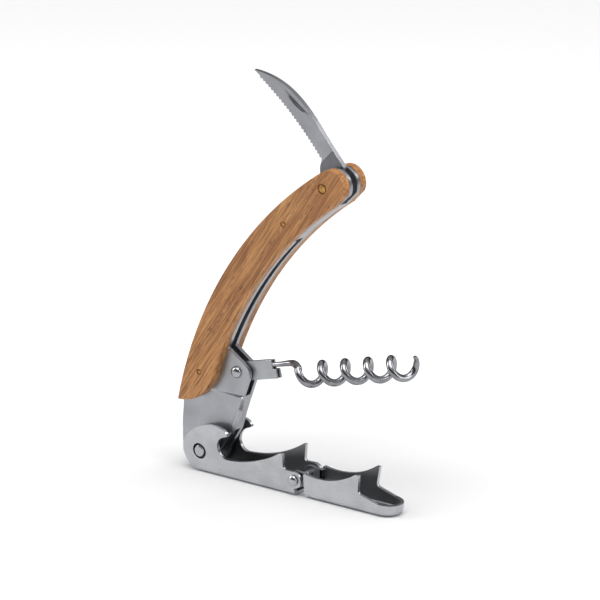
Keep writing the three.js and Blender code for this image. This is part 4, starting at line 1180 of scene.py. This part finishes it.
worm_rivet = domed_rivet("worm_rivet_domed", WORM_PIVOT, FRAME_HALF + 0.02, 1.8, 1.18)
finish(worm_rivet, "handle", ["worm_rivet"], rivet_steel)

stage_rivet = domed_rivet("stage_rivet_domed", STAGE_PIVOT, EAR_FACE - 0.25, 1.65, 1.0)
finish(stage_rivet, "lever", ["stage_rivet"], rivet_steel)

head = [(1.2, HUB_END + 0.05), (1.66, HUB_END + 0.05), (1.75, HUB_END + 0.15),
        (1.75, HEAD_TOP - 0.32), (1.66, HEAD_TOP - 0.15), (1.45, HEAD_TOP - 0.05),
        (1.0, HEAD_TOP), (0.0, HEAD_TOP)]
pivot_rivet = turned_piece("pivot_rivet_head", LEVER_PIVOT, both_ends(head))
finish(pivot_rivet, "handle", ["pivot_rivet"], rivet_steel)


def pivot_bush(side):
    """Flanged bush: the flange keeps the arm off the frame, the hub fills its hole."""
    flange = FOOT_HALF_WIDTH + FACE_GAP
    face = flange + FLANGE_THICKNESS
    profile = [(BORE_RADIUS, flange), (FLANGE_RADIUS - 0.1, flange), (FLANGE_RADIUS, flange + 0.1),
               (FLANGE_RADIUS, face - 0.07), (FLANGE_RADIUS - 0.08, face),
               (HUB_RADIUS + 0.08, face), (HUB_RADIUS, face + 0.1), (HUB_RADIUS, HUB_END - 0.12),
               (HUB_RADIUS - 0.1, HUB_END), (BORE_RADIUS + 0.15, HUB_END),
               (BORE_RADIUS, HUB_END - 0.12), (BORE_RADIUS, flange)]
    name = "pivot_bush_left" if side < 0 else "pivot_bush_right"
    bush = turned_piece(name + "_ring", LEVER_PIVOT, [(r, side * y) for r, y in profile])
    # The near-black ring steel is painted shade for the recess round the pivot rivet.
    return finish(bush, "handle", [name], ring_steel)


pivot_bush(-1)
pivot_bush(1)
tube_end = [(SPACER_RADIUS, SPACER_END - 0.1), (SPACER_RADIUS - 0.1, SPACER_END),
            (BORE_RADIUS, SPACER_END)]
spacer = turned_piece("pivot_spacer_tube", LEVER_PIVOT,
                      both_ends(tube_end) + [(BORE_RADIUS, -SPACER_END)])
finish(spacer, "handle", ["pivot_spacer"], ring_steel)


def brass_pin(node_name, at, radius):
    """A pin whose ends are filed almost flat, a little below the wood."""
    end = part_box(node_name)[1].y / MM
    ends = [(radius, end - 0.16), (radius - 0.05, end - 0.06),
            (radius - 0.2, end - 0.01), (0.0, end)]
    pin = turned_piece(node_name + "_brass", at, both_ends(ends), 40)
    return finish(pin, "handle", [node_name], brass)


brass_pin("blade_pivot_pin", BLADE_PIVOT, 1.2)
brass_pin("scale_pin_upper", UPPER_PIN, 0.6)
brass_pin("scale_pin_lower", LOWER_PIN, 0.6)

# %% [markdown]
# Each lever stage is a channel pressed from sheet: a flat floor, two tight folds and walls that lean out a
# little. Its teeth, hooks and ears are then cut through both walls at once, so the channel is kept only
# where it lies inside one outline seen from the side. The inner faces get a darker, duller copy of the
# steel: painted shade for the dark inside of the channel.

# %% Channels
LEVER_SHEET = 1.1
BEND_RADIUS = 1.3
FIRST_FLARE = 0.105
ARM_GAP = 0.17  # between a flange and the arm
FIRST_BASE = (FOOT_HALF_WIDTH + FACE_GAP + FLANGE_THICKNESS + ARM_GAP + LEVER_SHEET
              - FIRST_FLARE * (LEVER_PIVOT.z - FLANGE_RADIUS))
SECOND_FLARE = 0.09
SECOND_BASE = 4.55
WALL_TOP = 17.0
LEVER_EDGE = 0.11
HALF_REACH = 12.0  # tools reach this far to each side of the middle


def lever_x(x):
    """A distance from the lever's pivot, as a place along the object."""
    return LEVER_PIVOT.x + x


NOSE_CENTRE = lever_x(70.2 - SECOND_BASE)


def straight_channel(name, base, flare, x0, x1):
    """The outer skin of a channel, drawn across and pulled along."""
    channel = pen_start(name, x0, WALL_TOP, -(base + flare * WALL_TOP))
    pen_to(x0, 0, -base)
    pen_to(x0, 0, base)
    pen_to(x0, WALL_TOP, base + flare * WALL_TOP)
    bpy.ops.mesh.select_all(action="SELECT")
    bpy.ops.mesh.extrude_region_move(TRANSFORM_OT_translate={"value": ((x1 - x0) * MM, 0, 0)})
    return channel


def fold_and_thicken(channel, base, flare, width=BEND_RADIUS):
    """Round the two folds, then give the sheet its thickness inwards."""
    pick_edges(channel, lambda a, b: abs(a.z) < 0.01 and abs(b.z) < 0.01
               and abs(a.x - b.x) + abs(a.y - b.y) > 0.01
               and on_fold(a, base) and on_fold(b, base))
    bpy.ops.mesh.bevel(offset=width * MM, segments=6, profile=0.5, affect="EDGES",
                       clamp_overlap=True)
    bpy.ops.mesh.select_all(action="SELECT")
    bpy.ops.mesh.normals_make_consistent(inside=False)
    turn_outwards(channel)
    apply_modifier(channel, "SOLIDIFY", thickness=LEVER_SHEET * MM, offset=-1,
                   use_even_offset=True, use_quality_normals=True)


def on_fold(p, base):
    """On the line of the fold: beside the floor, or round the nose."""
    if p.x <= NOSE_CENTRE + 0.01:
        return abs(abs(p.y) - base) < 0.01
    return abs(math.hypot(p.x - NOSE_CENTRE, p.y) - base) < 0.01


def turn_outwards(channel):
    """An open skin has no inside, so make sure that its floor faces down."""
    bpy.ops.object.mode_set(mode="OBJECT")
    floor = min(channel.data.polygons, key=lambda f: (round(f.center.z, 5), -f.area))
    if floor.normal.z > 0:
        bpy.ops.object.mode_set(mode="EDIT")
        bpy.ops.mesh.select_all(action="SELECT")
        bpy.ops.mesh.flip_normals()
        bpy.ops.object.mode_set(mode="OBJECT")


def mark_inside(piece, base, flare):
    """Give the inner faces of a channel the second material, a darker steel that paints the shade inside the
    channel.
    """
    for face in piece.data.polygons:
        c = face.center / MM
        n = face.normal
        if c.x <= NOSE_CENTRE:
            outward = n.y * math.copysign(1, c.y) if abs(n.y) > 0.3 else -n.z
            inner_wall = abs(c.y) < base + flare * c.z - 0.6 and outward < -0.3
            inner_floor = c.z > 0.6 and n.z > 0.7 and abs(c.y) < base - 0.9
        else:
            away = Vector((c.x - NOSE_CENTRE, c.y))
            inner_wall = away.length < base - 0.5 and Vector((n.x, n.y)).dot(away) < -0.1
            inner_floor = c.z > 0.6 and n.z > 0.7 and away.length < base - 0.9
        face.material_index = 1 if inner_wall or inner_floor else 0


# %% [markdown]
# The first stage carries the cap lifter's hooks, the arms that hold the frame and the first
# pair of bearing teeth. All of it shows from the side, so one outline gives the whole shape.

# %% First stage
TOOTH_X = 31.6  # the first bearing tooth, from the lever's pivot
TOOTH_TOP = 12.5
NOTCH_AT = (10.6, 2.8)  # the cap lifter's notch, from the lever's pivot
NOTCH_RADIUS = 3.6


def first_stage_outline():
    """Ear, tooth, saddle, notch, hook and arm, from the joint back to the pivot."""
    ground = LEVER_PIVOT.z
    tool = pen_start("first_stage_outline", lever_x(35.3), -1, -HALF_REACH)
    pen_to(lever_x(35.3), 2.2)
    ear = polar((STAGE_PIVOT.x, STAGE_PIVOT.z), 2.7, -45)
    pen_to(*ear)
    pen_arc(STAGE_PIVOT.x, STAGE_PIVOT.z, 135, 22)
    pen_to(lever_x(32.1), 7.52)
    pen_to(lever_x(TOOTH_X), 8.0)
    pen_to(lever_x(TOOTH_X), TOOTH_TOP)
    pen_to(lever_x(TOOTH_X - 0.9), TOOTH_TOP)
    notch = (lever_x(NOTCH_AT[0]), ground + NOTCH_AT[1])
    low = polar(notch, NOTCH_RADIUS, -95)
    saddle = ((low.x + lever_x(TOOTH_X)) / 2, low.y + (TOOTH_TOP - low.y) * 0.28)
    pen_arc_through(saddle, low, 30)
    pen_arc(*notch, -150, 26)
    start = Vector((lever_x(11.1), ground + 6.9))
    pen_to(*start)
    bend = Vector((lever_x(10.6), ground + 9.2))
    end = Vector((lever_x(6.2), ground + 9.2))
    for i in range(1, 9):
        t = i / 8
        pen_to(*(start * (1 - t) ** 2 + bend * 2 * t * (1 - t) + end * t * t))
    shoulder = polar((lever_x(0), ground), 6.2, 125)
    pen_arc_through(beside_chord(shoulder, end, -1.1), shoulder, 14)
    pen_arc(lever_x(0), ground, 160, 36)
    pen_to(lever_x(3.2), -0.2)
    pen_to(lever_x(3.2), -1)
    pen_close()
    thicken(2 * HALF_REACH)
    bpy.ops.object.mode_set(mode="OBJECT")
    return tool


def box_tool(name, x0, x1, y0, y1, z0, z1):
    tool = pen_start(name, x0, z0, y0)
    for x, z in ((x1, z0), (x1, z1), (x0, z1)):
        pen_to(x, z)
    pen_close()
    thicken(y1 - y0)
    bpy.ops.object.mode_set(mode="OBJECT")
    return tool


def round_tool(name, at, radius, reach, steps=48):
    return turned_piece(name, at, [(0, -reach), (radius, -reach), (radius, reach), (0, reach)], steps)


def first_stage():
    """The channel, kept inside its outline, open at the rear, with the arms' holes."""
    stage = straight_channel("lever_stage_with_arms", FIRST_BASE, FIRST_FLARE, lever_x(-9), lever_x(40))
    fold_and_thicken(stage, FIRST_BASE, FIRST_FLARE)
    cut(stage, first_stage_outline(), "INTERSECT")
    inside = FIRST_BASE - LEVER_SHEET
    cut(stage, box_tool("rear_opening", lever_x(-12), lever_x(3.2), -inside, inside, -2, BEND_RADIUS))
    cut(stage, round_tool("arm_hole", LEVER_PIVOT, HUB_RADIUS + 0.25, HALF_REACH))
    break_edges(stage, LEVER_EDGE, 2, 35)
    mark_inside(stage, FIRST_BASE, FIRST_FLARE)
    return finish(stage, "lever", ["lever_first_stage"], [lever_steel, lever_inside_shade])


first_stage()

# %% [markdown]
# The second stage is a like channel whose front end is drawn round into a closed nose. At
# its rear a narrow knuckle goes between the first stage's ears. The knuckle is a piece of
# its own, because its two cheeks are bent inwards from the walls.

# %% Second stage
REAR = 38.7  # the second stage's rear edge, from the lever's pivot


def nosed_channel(name):
    """A channel whose end is closed by spinning its cross-section round the nose."""
    top = 13.0
    channel = pen_start(name, NOSE_CENTRE, 0, 0)
    pen_to(NOSE_CENTRE, 0, -SECOND_BASE)
    pen_to(NOSE_CENTRE, top, -(SECOND_BASE + SECOND_FLARE * top))
    bpy.ops.mesh.select_all(action="SELECT")
    bpy.ops.mesh.spin(steps=28, angle=math.pi, center=spot(NOSE_CENTRE, 0), axis=(0, 0, -1))
    bpy.ops.mesh.select_all(action="SELECT")
    bpy.ops.mesh.remove_doubles(threshold=MERGE_WITHIN)
    pick_edges(channel, lambda a, b: abs(a.x - NOSE_CENTRE) < 0.01 and abs(b.x - NOSE_CENTRE) < 0.01)
    back = lever_x(REAR) - NOSE_CENTRE
    bpy.ops.mesh.extrude_region_move(TRANSFORM_OT_translate={"value": (back * MM, 0, 0)})
    return channel


def second_stage_outline():
    """Floor, nose, tooth and saddle, from the joint forwards and back again."""
    tool = pen_start("second_stage_outline", lever_x(40.0), 0, -HALF_REACH)
    pen_to(lever_x(40.0), -1)
    pen_to(lever_x(72), -1)
    pen_to(lever_x(72), 3.4)
    pen_to(lever_x(69.6), 3.5)
    pen_to(lever_x(65.4), 3.9)
    pen_to(lever_x(59.4), 5.5)
    pen_to(lever_x(59.0), 5.72)
    pen_to(lever_x(58.7), 6.2)
    pen_to(lever_x(59.3), 11.5)
    pen_to(lever_x(58.1), 11.5)
    pen_arc_through((lever_x(44.0), 7.1), (lever_x(39.2), 7.62), 26)
    pen_to(lever_x(38.85), 7.4)
    pen_to(lever_x(REAR), 7.0)
    pen_to(lever_x(REAR), 2.6)
    pen_to(lever_x(38.8), 1.5)
    pen_to(lever_x(39.2), 0.6)
    pen_close()
    thicken(2 * HALF_REACH)
    bpy.ops.object.mode_set(mode="OBJECT")
    return tool


def knuckle_cheek(side, inner, outer):
    """One side of the knuckle: a round eye and the stem that joins it to the wall."""
    low, high = STAGE_PIVOT.z - 1.6, STAGE_PIVOT.z + 2
    start = polar((STAGE_PIVOT.x, STAGE_PIVOT.z), 2.5, 90)
    cheek = pen_start("knuckle_cheek", *start, side * inner)
    pen_arc(STAGE_PIVOT.x, STAGE_PIVOT.z, 216, 32)
    pen_to(lever_x(REAR), low)
    pen_to(lever_x(39.8), low)
    pen_to(lever_x(39.8), high)
    pen_close()
    thicken(side * (outer - inner))
    bpy.ops.object.mode_set(mode="OBJECT")
    wall = SECOND_BASE + SECOND_FLARE * low - 0.1
    stem = box_tool("knuckle_stem", lever_x(REAR), lever_x(39.8),
                    min(side * inner, side * wall), max(side * inner, side * wall), low, high)
    return [cheek, stem]


def second_stage():
    """The nosed channel, and the knuckle that joins it to the first stage."""
    stage = nosed_channel("lever_stage_with_nose")
    fold_and_thicken(stage, SECOND_BASE, SECOND_FLARE, 1.5)
    cut(stage, second_stage_outline(), "INTERSECT")
    break_edges(stage, LEVER_EDGE, 2, 35)
    mark_inside(stage, SECOND_BASE, SECOND_FLARE)
    finish(stage, "lever_end", ["lever_second_stage"], [lever_steel, lever_inside_shade])
    ear_inside = FIRST_BASE - LEVER_SHEET + FIRST_FLARE * (STAGE_PIVOT.z - 2.5)
    outer = ear_inside - FACE_GAP
    inner = outer - LEVER_SHEET
    parts = knuckle_cheek(-1, inner, outer) + knuckle_cheek(1, inner, outer)
    for part in parts:
        break_edges(part, 0.1, 2, 35)
    bpy.ops.object.select_all(action="DESELECT")
    for part in parts:
        part.select_set(True)
    bpy.context.view_layer.objects.active = parts[0]
    bpy.ops.object.join()
    parts[0].name = "lever_knuckle"
    finish(parts[0], "lever_end", [], holder_steel)


second_stage()

# %% [markdown]
# A leaf spring lies on the first stage's floor and its tip presses on the knuckle, which
# gives the joint its click. It is a strip drawn from the side, with its edges rolled.

# %% Leaf spring
SPRING_STRIP = 0.4
SPRING_FLAT = 4.0  # length that lies on the floor
SPRING_STEPS = 8


def leaf_spring():
    """A strip drawn from the side: a flat foot and a bent tip."""
    low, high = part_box("stage_spring")
    x0, x1 = low.x / MM, high.x / MM
    bottom, top = low.z / MM, high.z / MM
    bend_x = x0 + SPRING_FLAT
    rise = top - SPRING_STRIP - bottom
    shares = [i / SPRING_STEPS for i in range(1, SPRING_STEPS + 1)]
    spring = pen_start("leaf_spring", x0, bottom, low.y / MM)
    pen_to(bend_x, bottom)
    for t in shares:
        pen_to(bend_x + (x1 - bend_x) * t, bottom + rise * t * t)
    for t in reversed(shares):
        pen_to(bend_x + (x1 - bend_x) * t, bottom + SPRING_STRIP + rise * t * t)
    pen_to(bend_x, bottom + SPRING_STRIP)
    pen_to(x0, bottom + SPRING_STRIP)
    pen_close()
    thicken((high.y - low.y) / MM)
    break_edges(spring, 0.06, 2, 35)
    return finish(spring, "lever", ["stage_spring"], spring_steel)


leaf_spring()

# %% [markdown]
# The view layer is updated once more at the end. The new pieces must fill the same box as
# the imported model.

# %% Last cell
bpy.context.view_layer.update()
